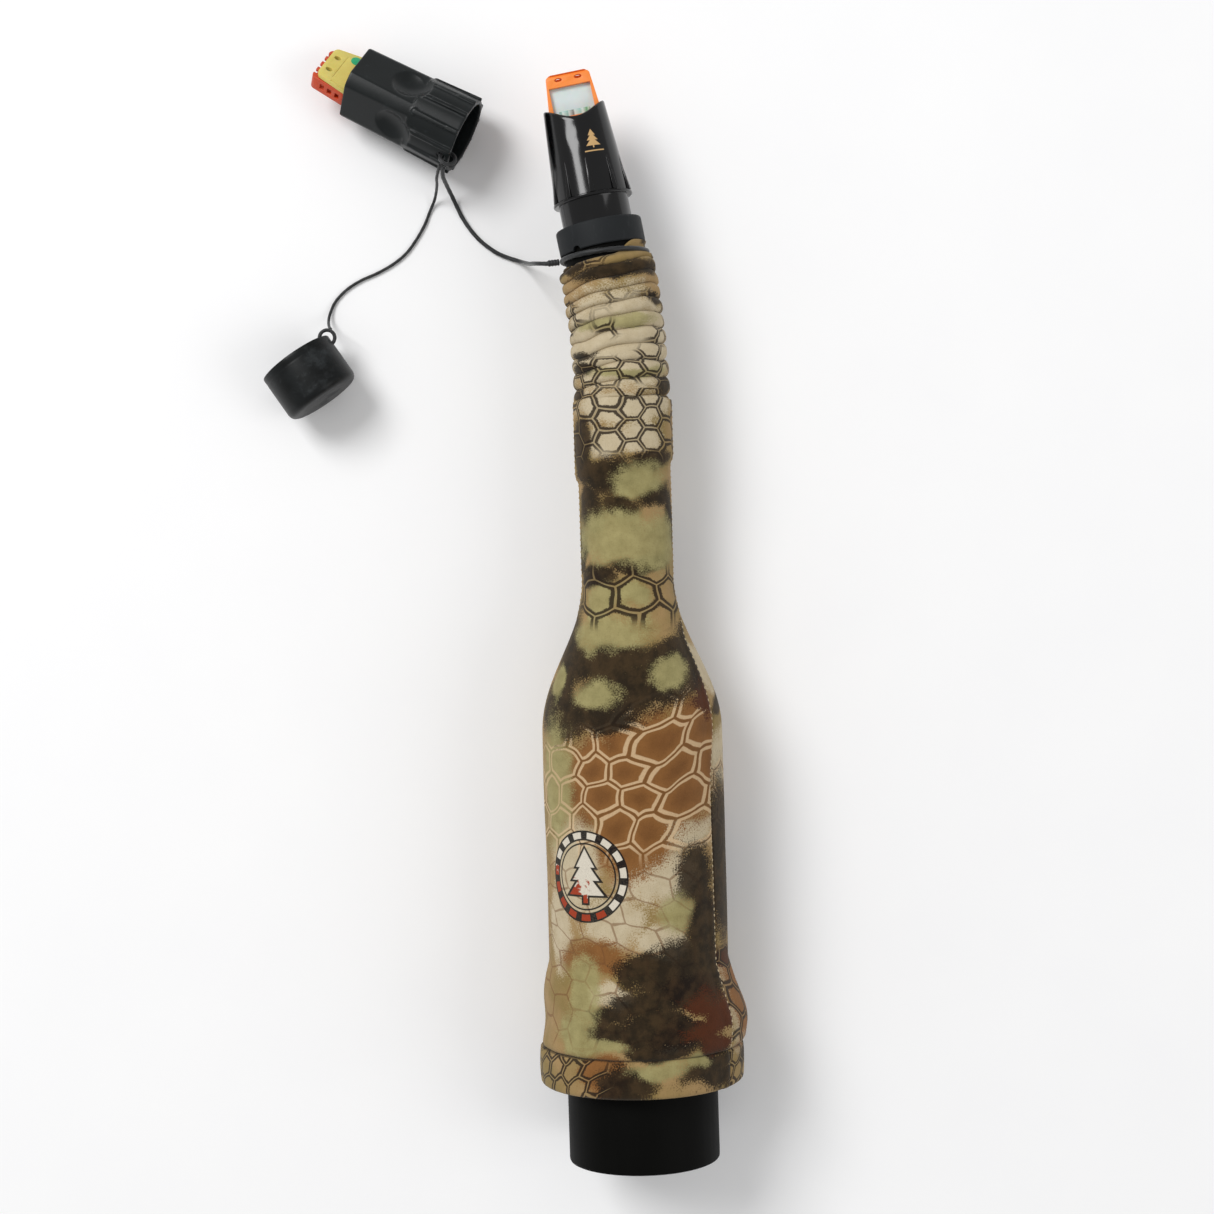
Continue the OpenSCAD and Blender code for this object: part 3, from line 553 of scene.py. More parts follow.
def panel(name, side):
    """One sewn panel of the sleeve, with its print, from its left seam to its right one."""
    fractions = np.concatenate([[-0.004, 0.0, 0.006], np.linspace(0.016, 0.984, 96),
                                [0.994, 1.0, 1.004]]).tolist()
    points, cloth, net, fields = [], [], [], {key: [] for key in PRINT[side]}
    fields.update(scale_net=[], thin_net=[], ring_net=[])
    for s, base, v in STATIONS:
        first = right_seam(s) - (math.pi if side == "front" else 0)
        for f in fractions:
            turn = first + math.pi * f
            # the edges turn in at the seam, and the front panel lies on the back one
            dip = 1.3 if f < 0 or f > 1 else 0.45 if f in (0.0, 1.0) else 0
            ridge = 0.35 if side == "front" and (0 < f < 0.03 or 0.97 < f < 1) else 0
            reach = base - dip + ridge
            at = s
            if s > 446:
                # the cloth's end slips under the loop, and shows above it at the right
                high = settle((math.sin(turn) - 0.15) / 0.6) * (1 if math.cos(turn) > -0.6 else 0)
                go = (s - 446) / 2.95
                at = 446 + go * (1.9 + 8.0 * high)
                reach = 22 - 1.95 * settle(go / 0.25) + 1.35 * high * settle((go - 0.62) / 0.3)
                bend = hang(turn, min(at, 448.9), reach)
                if at > 448.9:
                    ahead, right = Vector(AHEAD), Vector(RIGHT)
                    middle = Vector((-6.09, 447.65, 0)) + (at - 448) * ahead
                    bend = middle + reach * (math.sin(turn) * right
                                             + math.cos(turn) * Vector((0, 0, 1)))
                points.append(bend / 1000)
            else:
                points.append(hang(turn, s, reach) / 1000)
            u = base * (turn if side == "front" else turn - math.pi)
            cloth.append((u / 1000 + (side == "back"), v / 1000))
            net.append(scales(u, v))
            wobble = 4 * cloud_at(u / 17, v / 17, 21) + 2 * cloud_at(u / 6, v / 6, 31)
            for key, spots in PRINT[side].items():
                fields[key].append(blotch(u + wobble, v + wobble, spots))
            fields["scale_net"].append(settle((232 + 0.35 * u - v) / 8) * settle((v - 148) / 14)
                                       * (1 if v > 60 else 0))
            fields["thin_net"].append(settle((158 - v) / 14) * settle((v - 60) / 6))
            rare = settle((cloud_at(u / 24, v / 24, 51) + 0.12) / 0.2) if v > 384 else 1
            hem_cells = settle((-14 - u) / 6) + settle((u - 44) / 6) if v < 58.3 else 0
            fields["ring_net"].append(
                rare * settle((v - 346 - wobble) / 8) if v > 320 else
                settle((v - 262 - wobble) / 8) * settle((298 + 0.5 * wobble - v) / 8)
                * settle((u + 36) / 10) * settle((46 - u) / 10) if v > 240 else
                hem_cells if v < 58.3 else settle((110 - v) / 6) if side == "back" else 0)
    wide = len(fractions)
    faces = [(j * wide + i, (j + 1) * wide + i, (j + 1) * wide + i + 1, j * wide + i + 1)
             for j in range(len(STATIONS) - 1) for i in range(wide - 1)]
    mesh = bpy.data.meshes.new(name)
    mesh.from_pydata([tuple(p) for p in points], [], faces)
    corners = np.zeros(len(mesh.loops), np.int32)
    mesh.loops.foreach_get("vertex_index", corners)
    for layer, places in (("cloth", cloth), ("net", net)):
        mesh.uv_layers.new(name=layer).data.foreach_set(
            "uv", np.array(places, np.float32)[corners].ravel())
    for key, values in fields.items():
        mesh.attributes.new(key, "FLOAT", "POINT").data.foreach_set(
            "value", np.array(values, np.float32))
    mesh.shade_smooth()
    piece = bpy.data.objects.new(name, mesh)
    bpy.context.scene.collection.objects.link(piece)
    bpy.context.view_layer.objects.active = piece
    thick = piece.modifiers.new("cloth_thickness", "SOLIDIFY")
    thick.thickness = 0.0007
    thick.offset = -1
    bpy.ops.object.modifier_apply(modifier=thick.name)
    return piece


camo_cloth, ink, shader = finish("camo_cloth", Sheen_Weight=0.12, Sheen_Roughness=0.5,
                                 Specular_IOR_Level=0.12)
shader.inputs["Sheen Tint"].default_value = (1.0, 0.93, 0.82, 1)
cloth = ink.node("UVMap", {"uv_map": "cloth"})
speck = cloth.grain(1300.0, 2.0, 0.6)
drift = cloth.grain(150.0, 4.0, 0.6)
wash = cloth.grain(38.0, 3.0)
mottle = (speck - 0.5) * 1.3 + (drift - 0.5) * 0.8


def dyed(key, soft=0.2):
    """Where one dye of the print is, with its airbrushed, speckled edge."""
    field = ink.node("Attribute", {"attribute_name": key}, output=2)
    return (field + mottle).rise(-soft, soft)


# distance to the nearest line of the six-sided net, 0 on the line and 0.5 in a scale's middle
net = ink.node("UVMap", {"uv_map": "net"})


# half a cell of the net, across and along
HALF_CELL = (0.5, 0.8660254, 0.0)


def nearest(place):
    """From the middle of the cell that this place is in."""
    turned_in = ink.node("VectorMath", {"operation": "MODULO"}, place, (1.0, 1.7320508, 1.0))
    return ink.node("VectorMath", {"operation": "SUBTRACT"}, turned_in, HALF_CELL)


even = nearest(net)
odd = nearest(ink.node("VectorMath", {"operation": "SUBTRACT"}, net, HALF_CELL))
even_far = ink.node("VectorMath", {"operation": "LENGTH"}, even, output=1)
odd_far = ink.node("VectorMath", {"operation": "LENGTH"}, odd, output=1)
closer = ink.maths("LESS_THAN", even_far, odd_far)
inside = ink.node("Mix", {"data_type": "VECTOR"}, closer, None, None, None, odd, even, output=1)
inside = ink.node("VectorMath", {"operation": "ABSOLUTE"}, inside)
slant = ink.node("VectorMath", {"operation": "DOT_PRODUCT"}, inside, HALF_CELL, output=1)
edge = 0.5 - slant.most(inside.axis("X")) + (drift - 0.5) * 0.035

scale_net = ink.node("Attribute", {"attribute_name": "scale_net"}, output=2)
thin_net = ink.node("Attribute", {"attribute_name": "thin_net"}, output=2)
ring_net = ink.node("Attribute", {"attribute_name": "ring_net"}, output=2)

colour = wash.rise(0.35, 0.65).over(paint(158, 130, 88), paint(134, 114, 68))
colour = dyed("pale", 0.25).over(colour, drift.over(paint(172, 155, 122), paint(203, 190, 163)))
on_brown = dyed("brown", 0.2)
colour = on_brown.over(colour, drift.over(paint(112, 74, 36), paint(144, 98, 54)))
heart = edge.rise(0.12, 0.42) * scale_net * on_brown
colour = (heart * 0.4).over(colour, paint(88, 54, 26))
pale_line = edge.rise(0.03, 0.045) * edge.rise(0.125, 0.1) * scale_net
colour = (pale_line * (speck * 0.3 + 0.62)).over(colour, paint(206, 178, 140))
gap_line = edge.rise(0.03, 0.018) * scale_net
colour = (gap_line * 0.8).over(colour, paint(112, 76, 40))
thin_line = edge.rise(0.045, 0.02) * thin_net
colour = (thin_line * 0.6).over(colour, paint(112, 74, 42))
colour = dyed("rust", 0.1).over(colour, drift.over(paint(58, 28, 12), paint(88, 44, 20)))
# the dark dye of the print, with a painted shade band across one bunched roll of the front panel
dark = dyed("dark", 0.22)
colour = (dark * 0.96).over(colour, (drift * 0.6 + wash * 0.4).rise(0.4, 0.62).over(
    paint(20, 14, 8), paint(54, 40, 24)))
colour = (dyed("olive", 0.32) * (0.88 - pale_line * 0.6 - thin_line * 0.3)).over(colour, drift.over(
    paint(118, 110, 68), paint(176, 167, 116)))
ring = edge.rise(0.02, 0.035) * (edge + mottle * 0.08).rise(0.15, 0.11) * ring_net
colour = (ring * 0.92).over(colour, paint(36, 25, 16))
mid_line = edge.rise(0.03, 0.015) * ring_net
colour = (mid_line * 0.6).over(colour, paint(140, 120, 82))
# painted shade: a narrow dark line in the fold above the hem, where the cloth bulges over the hem
# band
crease_shade = (abs(cloth.axis("Y") - 0.0579) - 0.0006).rise(0.0004, -0.0003)
colour = (crease_shade * 0.7).over(colour, paint(26, 19, 13))

# the printed badge: a pine tree in a ring of dashes
badge = ink.node("VectorMath", {"operation": "SUBTRACT"}, cloth, (-0.0265, 0.1455, 0.0))
badge = ink.node("VectorMath", {"operation": "SCALE"}, badge, Scale=1 / 0.045)
from_axis, height = abs(badge.axis("X")), badge.axis("Y")
ring_at = ink.node("VectorMath", {"operation": "LENGTH"}, badge, output=1)
around = ink.maths("ARCTAN2", height, badge.axis("X"))
dashes = (around * 15.0).maths("SINE", around * 15.0)


def pine(grow):
    """The printed pine: a trunk and three boughs, grown outwards for its outline."""
    shape = (from_axis - 0.028 - grow).rise(0.004, -0.004) * height.rise(
        -0.29 - grow, -0.28 - grow) * height.rise(0.01, 0)
    for top, foot, spread in ((0.30, 0.1, 0.12), (0.19, -0.04, 0.17), (0.07, -0.2, 0.22)):
        bough = (from_axis + (height - top - 2 * grow) * (spread / (top - foot))).rise(
            0.006, -0.006)
        shape = shape.most(bough * (height - foot + grow).rise(-0.004, 0.004))
    return shape


worn = speck * 0.3 + 0.8
band = ring_at.rise(0.385, 0.392) * ring_at.rise(0.5, 0.493)
inner_ring = ring_at.rise(0.342, 0.348) * ring_at.rise(0.366, 0.36)
dash = ring_at.rise(0.405, 0.411) * ring_at.rise(0.48, 0.474) * dashes.rise(-0.35, -0.2)
colour = (band.most(inner_ring).most(pine(0.022)) * worn).over(colour, paint(16, 18, 22))
ink_tint = (height + badge.axis("X") * 0.6 + (drift - 0.5)).rise(-0.22, -0.16).over(
    paint(158, 60, 34), paint(214, 206, 190))
colour = (dash.most(pine(0)) * worn).over(colour, ink_tint)

knit = cloth.node("TexVoronoi", {"feature": "F1"}, Vector=cloth, Scale=1400.0, Randomness=0.75)
fibres = cloth.grain(900.0, 2.0, 0.7, (1.0, 0.3, 1.0))
shade = (knit * 0.45 + speck * 0.3 + fibres * 0.55 + 0.34).least(1.0)
colour = ink.node("Mix", {"data_type": "RGBA", "blend_type": "MULTIPLY"}, 0.5, None, None, None,
                  None, None, colour, ink.node("CombineColor", {}, shade, shade, shade), output=2)
colour.into(shader, "Base Color")
(0.92 - speck * 0.12).into(shader, "Roughness")
(knit * 0.6 + speck * 0.5 + drift * 0.8).relief(shader, 0.00022, 0.55)

front = panel("sleeve_front_panel", "front")
front.data.materials.append(camo_cloth)
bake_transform(front)
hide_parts("sleeve_front", "sleeve_hem", "sleeve_gathers")

back = panel("sleeve_back_panel", "back")
back.data.materials.append(camo_cloth)
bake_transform(back)
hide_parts("sleeve_back")

white_elastic, ink, shader = finish("white_elastic", Roughness=0.8)
spot = ink.node("TexCoord", {}, output=3)
rib = spot.grain(900.0, 2.0)
rib.over(paint(214, 212, 206), paint(235, 234, 230)).into(shader, "Base Color")
rib.relief(shader, 0.0001, 0.6)
repaint(white_elastic, "hem_elastic", "neck_elastic")

# ---- Side seams --------------------------------------------------------------------------
# Both seams are sewn with pale polyester thread, a row of short straight stitches that sink
# into the cloth at their ends.

seam_thread, ink, shader = finish("seam_thread", Roughness=0.6, Sheen_Weight=0.3)
spot = ink.node("TexCoord", {}, output=3)
twist = spot.grain(2200.0, 2.0)
twist.over(paint(158, 136, 102), paint(196, 178, 144)).into(shader, "Base Color")
twist.relief(shader, 0.0001, 0.7)


def pick(*pieces):
    """Selects these pieces alone, with the last one active."""
    bpy.ops.object.select_all(action="DESELECT")
    for piece in pieces:
        piece.select_set(True)
    bpy.context.view_layer.objects.active = pieces[-1]


def stitches(name, half_turn, node):
    """A row of stitches 3 mm apart along a seam, each a thread bent down at both ends."""
    bpy.ops.mesh.primitive_cylinder_add(vertices=6, radius=0.46, depth=2.2, end_fill_type="NGON")
    one = bpy.context.object
    slim, sunk = 0.55, 0.35
    for vertex in one.data.vertices:
        vertex.co.xy *= slim
        vertex.co.y -= sunk
    one.data.update()
    bpy.ops.object.mode_set(mode="EDIT")
    bpy.ops.mesh.select_all(action="SELECT")
    bpy.ops.mesh.subdivide(number_cuts=2)
    bpy.ops.object.mode_set(mode="OBJECT")
    for vertex in one.data.vertices:
        if abs(vertex.co.z) < 0.6:
            vertex.co.x *= 1.8
            vertex.co.y = (vertex.co.y + sunk) * 1.8
    row = []
    for s in np.arange(60.5, 376.5, 3.0).tolist():
        turn = right_seam(s) + half_turn + (0.9 if half_turn else -0.9) / tube_radius(s)
        here, there = (hang(turn, s + d, tube_radius(s + d) + 0.85) for d in (-0.2, 0.2))
        way = (there - here).normalized()
        out = Vector((math.sin(turn), 0, math.cos(turn)))
        out = (out - way * out.dot(way)).normalized()
        across = out.cross(way)
        copy = one.copy()
        copy.data = one.data.copy()
        bpy.context.scene.collection.objects.link(copy)
        place = Matrix((across, out, way)).transposed().to_4x4()
        place.translation = here
        copy.data.transform(place)
        row.append(copy)
    pick(*row[1:], row[0])
    bpy.ops.object.join()
    bpy.data.objects.remove(one)
    piece = bpy.context.object
    piece.name = piece.data.name = name
    seat(piece, Matrix.Identity(4))
    piece.data.shade_smooth()
    hand_over(piece, seam_thread, "tube", "seam_thread", node)


stitches("seam_right_stitches", 0, "seam_right")
stitches("seam_left_stitches", math.pi, "seam_left")

# ---- Collar, loop and slip knot ----------------------------------------------------------
# A moulded rubber collar grips the neck's ferrule, with a notch where the lanyard's loop
# comes round below it. The loop is drawn tight by a slip knot at the left.

# local Z runs up the neck's axis from where the hose ends, local Y points up
ON_NECK_TOP = (Matrix.Translation(NECK_TOP) @ Matrix.Rotation(HOSE_BEND, 4, "Z") @ ALONG_TUBE)


def combine(piece, other, operation):
    """Joins another solid to a piece, cuts it off, or keeps what both share."""
    bpy.context.view_layer.objects.active = piece
    step = piece.modifiers.new("combine", "BOOLEAN")
    step.object, step.operation = other, operation
    bpy.ops.object.modifier_apply(modifier=step.name)
    bpy.data.objects.remove(other)


def peg(radius, length, place, sides=32):
    """A round cutter across a wall, radius and length in millimetres."""
    bpy.ops.mesh.primitive_cylinder_add(vertices=sides, radius=radius, depth=length)
    piece = bpy.context.object
    seat(piece, place @ Matrix.Rotation(math.pi / 2, 4, "Y"))
    return piece


collar = turned("neck_collar_moulding", [
    (19.95, 6.9), (20.1, 6.4), (20.5, 6.3), (21.2, 6.35), (21.55, 6.8), (21.62, 7.6),
    (21.7, 12.4), (21.7, 17.6), (21.6, 18.4), (21.2, 18.9), (20.6, 19), (20.1, 18.85),
    (19.95, 18.3), (19.95, 6.9)], 160, ON_NECK_TOP)
combine(collar, peg(2.2, 8, ON_NECK_TOP @ Matrix.Rotation(math.radians(52), 4, "Z")
                    @ Matrix.Translation((0.0205, 0, 0.0063)), 40), "DIFFERENCE")
pick(collar)
bpy.ops.object.shade_smooth_by_angle(angle=math.radians(32))
hand_over(collar, black_rubber, "neck_top", "black_rubber", "neck_collar")

ON_LOOP = ON_NECK_TOP @ Matrix.Translation((0, 0, 0.0029)) @ Matrix.Rotation(
    math.radians(-5), 4, "Y")
loop_line = [ON_LOOP @ Vector((0.0214 * math.cos(a), 0.0214 * math.sin(a), 0))
             for a in np.linspace(0, 2 * math.pi, 241)]
loop = braid("lanyard_loop_cord", loop_line, 0.00128, closed=True, pitch=0.0056)
hand_over(loop, cord_black, "neck_top", "lanyard_cord", "lanyard_loop")

coils = [(0.5, 0)]
for wrap in range(4):
    coils += [(out, up + 1.45 * wrap) for out, up in (
        (1.42, 0.12), (1.6, 0.4), (1.66, 0.75), (1.6, 1.1), (1.42, 1.38))]
coils += [(1.2, 5.95), (1.12, 6.4), (1.08, 7.4), (0.6, 7.6), (0, 7.6)]
slip_knot = turned("lanyard_slip_knot_wraps", coils, 28, ON_LOOP @ Matrix.Rotation(
    math.pi / 2, 4, "Y") @ Matrix.Translation((0, 0, 0.0227)), 60)
hand_over(slip_knot, cord_black, "neck_top", "lanyard_cord", "lanyard_slip_knot")

# ---- Plug-in call ------------------------------------------------------------------------
# A turned acrylic barrel, polished to a high gloss: a shank that two O-rings seal in the
# ferrule, a thin flange, ten slim ribs, and a lip dished in front and behind.

gloss_black, ink, shader = finish("gloss_black", Specular_IOR_Level=0.42)
spot = ink.node("TexCoord", {}, output=3)
cloud = spot.grain(45.0, 3.0)
hairline = spot.grain(420.0, 4.0, 0.65, (1.0, 0.12, 1.0)).rise(0.6, 0.8)
smear = cloud.rise(0.4, 0.75)
axis_right = ink.node("VectorMath", {"operation": "DOT_PRODUCT"}, spot, RIGHT, output=1)
axis_up = ink.node("VectorMath", {"operation": "DOT_PRODUCT"}, spot, AHEAD, output=1)
facing = spot.axis("Z").rise(0.004, 0.006)
# a small gilt pine tree, hot stamped on the barrel
TREE_SIZE = 0.0105
from_axis = abs((axis_right - (0.0718 + 0.0052)) / TREE_SIZE)
height = (axis_up - (0.4419 + 0.0585)) / TREE_SIZE
tree = (from_axis - 0.03).rise(0.01, -0.01) * height.rise(-0.42, -0.4) * height.rise(0, -0.02)
for top, foot, spread in ((0.5, 0.2, 0.17), (0.3, -0.04, 0.26), (0.1, -0.3, 0.34)):
    bough = (from_axis + (height - top) * (spread / (top - foot))).rise(0.01, -0.01)
    tree = tree.most(bough * (height - foot).rise(-0.01, 0.01))
bar = (abs(height + 0.55) - 0.03).rise(0.01, -0.01) * (from_axis - 0.45).rise(0.01, -0.01)
gilt = tree.most(bar) * facing * (spot.grain(2400.0).rise(0.25, 0.4) * 0.5 + 0.5)
body_black = (hairline * 0.5).over(paint(5, 5, 6), paint(26, 27, 29))
gilt.over(body_black, paint(196, 160, 108)).into(shader, "Base Color")
(smear * 0.08 + hairline * 0.12 + gilt * 0.25 + 0.13).into(shader, "Roughness")
(hairline * 0.4 + gilt * 0.8).relief(shader, 0.00003, 0.6)

MOUTH, LIP_TOP = 76, 79.3
call_outline = [(12.5, 3.2), (17.1, 3.1), (17.4, 3.3), (17.5, 3.8), (17.5, 7), (16.5, 7.1),
                (16.5, 8.9), (17.5, 9), (17.5, 13), (16.5, 13.1), (16.5, 14.9), (17.5, 15),
                (17.5, 30.4), (17.7, 30.9), (19.6, 31), (19.95, 31.35), (20, 31.8), (19.95, 32.25),
                (19.6, 32.6), (19.2, 32.7), (19.12, 33.6)]
call_outline += [(19.2 - 3.7 * (s - 32.6) / 46.7, s) for s in np.linspace(35, 77.9, 26).tolist()]
call_outline += [(15.56, LIP_TOP - 0.7), (15.4, LIP_TOP - 0.2), (15.1, LIP_TOP),
                 (14.6, LIP_TOP - 0.05), (14.25, LIP_TOP - 0.4), (14.1, LIP_TOP - 1.1)]
call_outline += [(14.1, s) for s in np.linspace(LIP_TOP - 2, 66.7, 8).tolist()]
call_outline += [(11.3, 66.5), (11.3, 51.8), (12.5, 51.6), (12.5, 3.2)]
call = turned("plug_in_call_barrel", call_outline, 192, Matrix.Scale(1000, 4), 34)
for vertex in call.data.vertices:
    reach = min(abs(vertex.co.y), 15.6)
    drop = 18 - math.sqrt(324 - reach * reach)
    vertex.co.z -= drop * settle((vertex.co.z - 53) / 25)
bpy.ops.mesh.primitive_cube_add(size=1, location=(0, 0, 0))
rib = bpy.context.object
for vertex in rib.data.vertices:
    high = vertex.co.z > 0
    vertex.co.z = 52.4 if high else 32.5
    vertex.co.x = (16.2 if high else 17.5) if vertex.co.x < 0 else (17.5 if high else 20.3)
    vertex.co.y *= 0.4 if high else 2.6
round_off = rib.modifiers.new("round_off", "BEVEL")
round_off.width, round_off.segments = 0.35, 3
bpy.ops.object.modifier_apply(modifier=round_off.name)
ribs = []
for number in range(10):
    copy = rib.copy()
    copy.data = rib.data.copy()
    copy.data.transform(Matrix.Rotation(2 * math.pi * (number + 0.5) / 10, 4, "Z"))
    bpy.context.scene.collection.objects.link(copy)
    ribs.append(copy)
bpy.data.objects.remove(rib)
pick(*ribs, call)
bpy.ops.object.join()
seat(call, ON_NECK_TOP)
bpy.ops.object.shade_smooth_by_angle(angle=math.radians(34))
hand_over(call, gloss_black, "bugle_call", "gloss_black", "bugle_barrel")

seal_rubber, ink, shader = finish("seal_rubber", Roughness=0.45)
spot = ink.node("TexCoord", {}, output=3)
spot.grain(300.0).over(paint(22, 22, 24), paint(40, 40, 42)).into(shader, "Base Color")
spot.grain(1800.0).relief(shader, 0.00005, 0.5)
repaint(seal_rubber, "bugle_orings")

# ---- Reed cartridges ---------------------------------------------------------------------
# Each cartridge is an injection-moulded base and a frame that clip together over a stretched
# latex sheet. Orange base and frame in the plug-in call; red-orange base and a yellow frame
# in the tethered one.


def tinted_plastic(name, low, high, rough):
    made, ink, shader = finish(name, Specular_IOR_Level=0.45, Subsurface_Weight=0.08,
                               Subsurface_Scale=0.002)
    spot = ink.node("TexCoord", {}, output=3)
    cloud = spot.grain(160.0, 3.0)
    fleck = spot.grain(1300.0, 3.0)
    (cloud * 0.7 + fleck * 0.3).over(paint(*low), paint(*high)).into(shader, "Base Color")
    (cloud * 0.15 + rough).into(shader, "Roughness")
    (cloud * 0.5 + fleck * 0.5).relief(shader, 0.00006, 0.5)
    return made


orange_plastic = tinted_plastic("orange_plastic", (236, 122, 40), (250, 152, 72), 0.3)
red_plastic = tinted_plastic("red_orange_plastic", (176, 52, 18), (206, 78, 34), 0.35)
yellow_plastic = tinted_plastic("yellow_plastic", (196, 178, 78), (222, 208, 118), 0.35)

latex, ink, shader = finish("latex", Subsurface_Weight=0.4, Subsurface_Scale=0.002,
                            Specular_IOR_Level=0.4)
spot = ink.node("TexCoord", {}, output=3)
stretch_marks = spot.grain(260.0, 4.0, 0.6, (1.0, 0.2, 1.0))
film = spot.grain(90.0, 2.0)
film.over(paint(214, 211, 208), paint(236, 233, 230)).into(shader, "Base Color")
(stretch_marks * 0.25 + 0.28).into(shader, "Roughness")
stretch_marks.relief(shader, 0.0001, 0.5)

printed_tape, ink, shader = finish("printed_tape", Roughness=0.35)
spot = ink.node("TexCoord", {}, output=3)
across = ink.node("VectorMath", {"operation": "DOT_PRODUCT"}, spot, RIGHT, output=1)
place = (across - 0.0628) / 0.018
bands = place.node("ValToRGB", {"stops": [
    (0.0, paint(168, 196, 190)), (0.12, paint(84, 150, 140)), (0.16, paint(206, 222, 216)),
    (0.3, paint(110, 168, 158)), (0.34, paint(196, 206, 200)), (0.46, paint(70, 58, 46)),
    (0.5, paint(206, 214, 206)), (0.66, paint(140, 190, 178)), (0.72, paint(214, 222, 214)),
    (0.84, paint(44, 140, 70)), (0.9, paint(190, 214, 190)), (1.0, paint(60, 150, 84))]}, place)
bands.node("Mix", {"data_type": "RGBA"}, spot.grain(900.0) * 0.25, None, None, None, None,
           None, bands, paint(230, 236, 230), output=2).into(shader, "Base Color")
spot.grain(900.0).relief(shader, 0.00005, 0.4)


def plate(name, wide, tip, start, end, low, high, cuts, place, rounding=0.45, depth=0.0):
    """A moulded plate of a cartridge: wide at the mouth, narrow at the tip, with cuts."""
    bpy.ops.mesh.primitive_cube_add(size=1, location=(0, (low + high) / 2, (start + end) / 2))
    piece = bpy.context.object
    piece.name = piece.data.name = name
    piece.scale = (wide, high - low, end - start)
    bpy.ops.object.transform_apply(location=True, rotation=True, scale=True)
    bpy.ops.object.mode_set(mode="EDIT")
    bpy.ops.mesh.select_all(action="SELECT")
    bpy.ops.mesh.bisect(plane_co=(0, 0, 0), plane_no=(0, 0, 1))
    bpy.ops.mesh.select_all(action="DESELECT")
    bpy.ops.object.mode_set(mode="OBJECT")
    for vertex in piece.data.vertices:
        if vertex.co.z > end - 0.01:
            vertex.co.x *= tip / wide
        if vertex.co.z < 0.01 and depth:
            vertex.co.x = math.copysign(depth, vertex.co.x)
    for edge_line in piece.data.edges:
        a, b = (piece.data.vertices[i].co for i in edge_line.vertices)
        edge_line.select = a.z > end - 0.01 and b.z > end - 0.01 and abs(a.x - b.x) < 0.01
    bpy.ops.object.mode_set(mode="EDIT")
    bpy.ops.mesh.select_mode(type="EDGE")
    bpy.ops.mesh.bevel(offset=2.4, segments=5)
    bpy.ops.object.mode_set(mode="OBJECT")
    for kind, middle, size in cuts:
        if kind == "hole":
            bpy.ops.mesh.primitive_cylinder_add(vertices=32, radius=0.5, depth=1,
                                                location=middle, rotation=(math.pi / 2, 0, 0))
        else:
            bpy.ops.mesh.primitive_cube_add(size=1, location=middle)
        cutter = bpy.context.object
        cutter.scale = size
        bpy.ops.object.transform_apply(location=True, rotation=True, scale=True)
        combine(piece, cutter, "DIFFERENCE")
    rounded = piece.modifiers.new("rounded", "BEVEL")
    rounded.width, rounded.segments, rounded.limit_method = rounding, 3, "ANGLE"
    rounded.angle_limit = math.radians(40)
    rounded.use_clamp_overlap = True
    bpy.ops.object.modifier_apply(modifier=rounded.name)
    pick(piece)
    seat(piece, place)
    bpy.ops.object.shade_smooth_by_angle(angle=math.radians(35))
    return piece


ON_BUGLE_MOUTH = ON_NECK_TOP @ Matrix.Translation((0, 0, MOUTH / 1000))
tip_holes = [("hole", (x, 4, 17.1), (3.8, 2.0, 8)) for x in (-5, 5)]
rail = [("block", (0, 5.4, 18.9), (30, 1.5, 1.0))]
bugle_frame = plate("bugle_cartridge_frame", 28, 21.8, -8, 20, 2.4, 4.8,
                    [("block", (0, 4, 6), (20.8, 8, 15)), *tip_holes, *rail],
                    ON_BUGLE_MOUTH, 0.4, 13.0)
hand_over(bugle_frame, orange_plastic, "bugle_reed", "orange_plastic", "bugle_reed_frame")
side_slots = [("block", (side * 12.6, -2, 4 + 4.5 * i), (4, 3, 2.4))
              for side in (-1, 1) for i in range(3)]
bugle_base = plate("bugle_cartridge_base", 26, 20.4, -8, 18, -6, 2,
                   [("block", (0, -2, 6), (14, 4.4, 30)), ("block", (0, 1.5, 6.5), (14, 8, 8)),
                    *side_slots], ON_BUGLE_MOUTH, 0.5, 12.2)
hand_over(bugle_base, orange_plastic, "bugle_reed", "orange_plastic", "bugle_reed_base")


def drum_skin(name, place, body, node, low):
    """The stretched sheet: a fine grid that crowns a little between its clamped edges."""
    bpy.ops.mesh.primitive_grid_add(x_subdivisions=40, y_subdivisions=36, size=1)
    piece = bpy.context.object
    piece.name = piece.data.name = name
    for vertex in piece.data.vertices:
        x, y = vertex.co.x * 2, vertex.co.y * 2
        z = 5 + 11.6 * y + (-1.2 if low < 0 else 0)
        reach = 12.6 - 2.6 * max(0, z / 17)
        crown = 0.28 * (1 - x * x) * (1 - y * y) + 0.03 * cloud_at(3 * x, y, 2)
        vertex.co = (x * reach, 2.1 + crown, z)
    piece.data.update()
    thick = piece.modifiers.new("sheet", "SOLIDIFY")
    thick.thickness, thick.offset = 0.18, 0
    bpy.ops.object.modifier_apply(modifier=thick.name)
    seat(piece, place)
    piece.data.shade_smooth()
    hand_over(piece, latex, body, "latex", node)


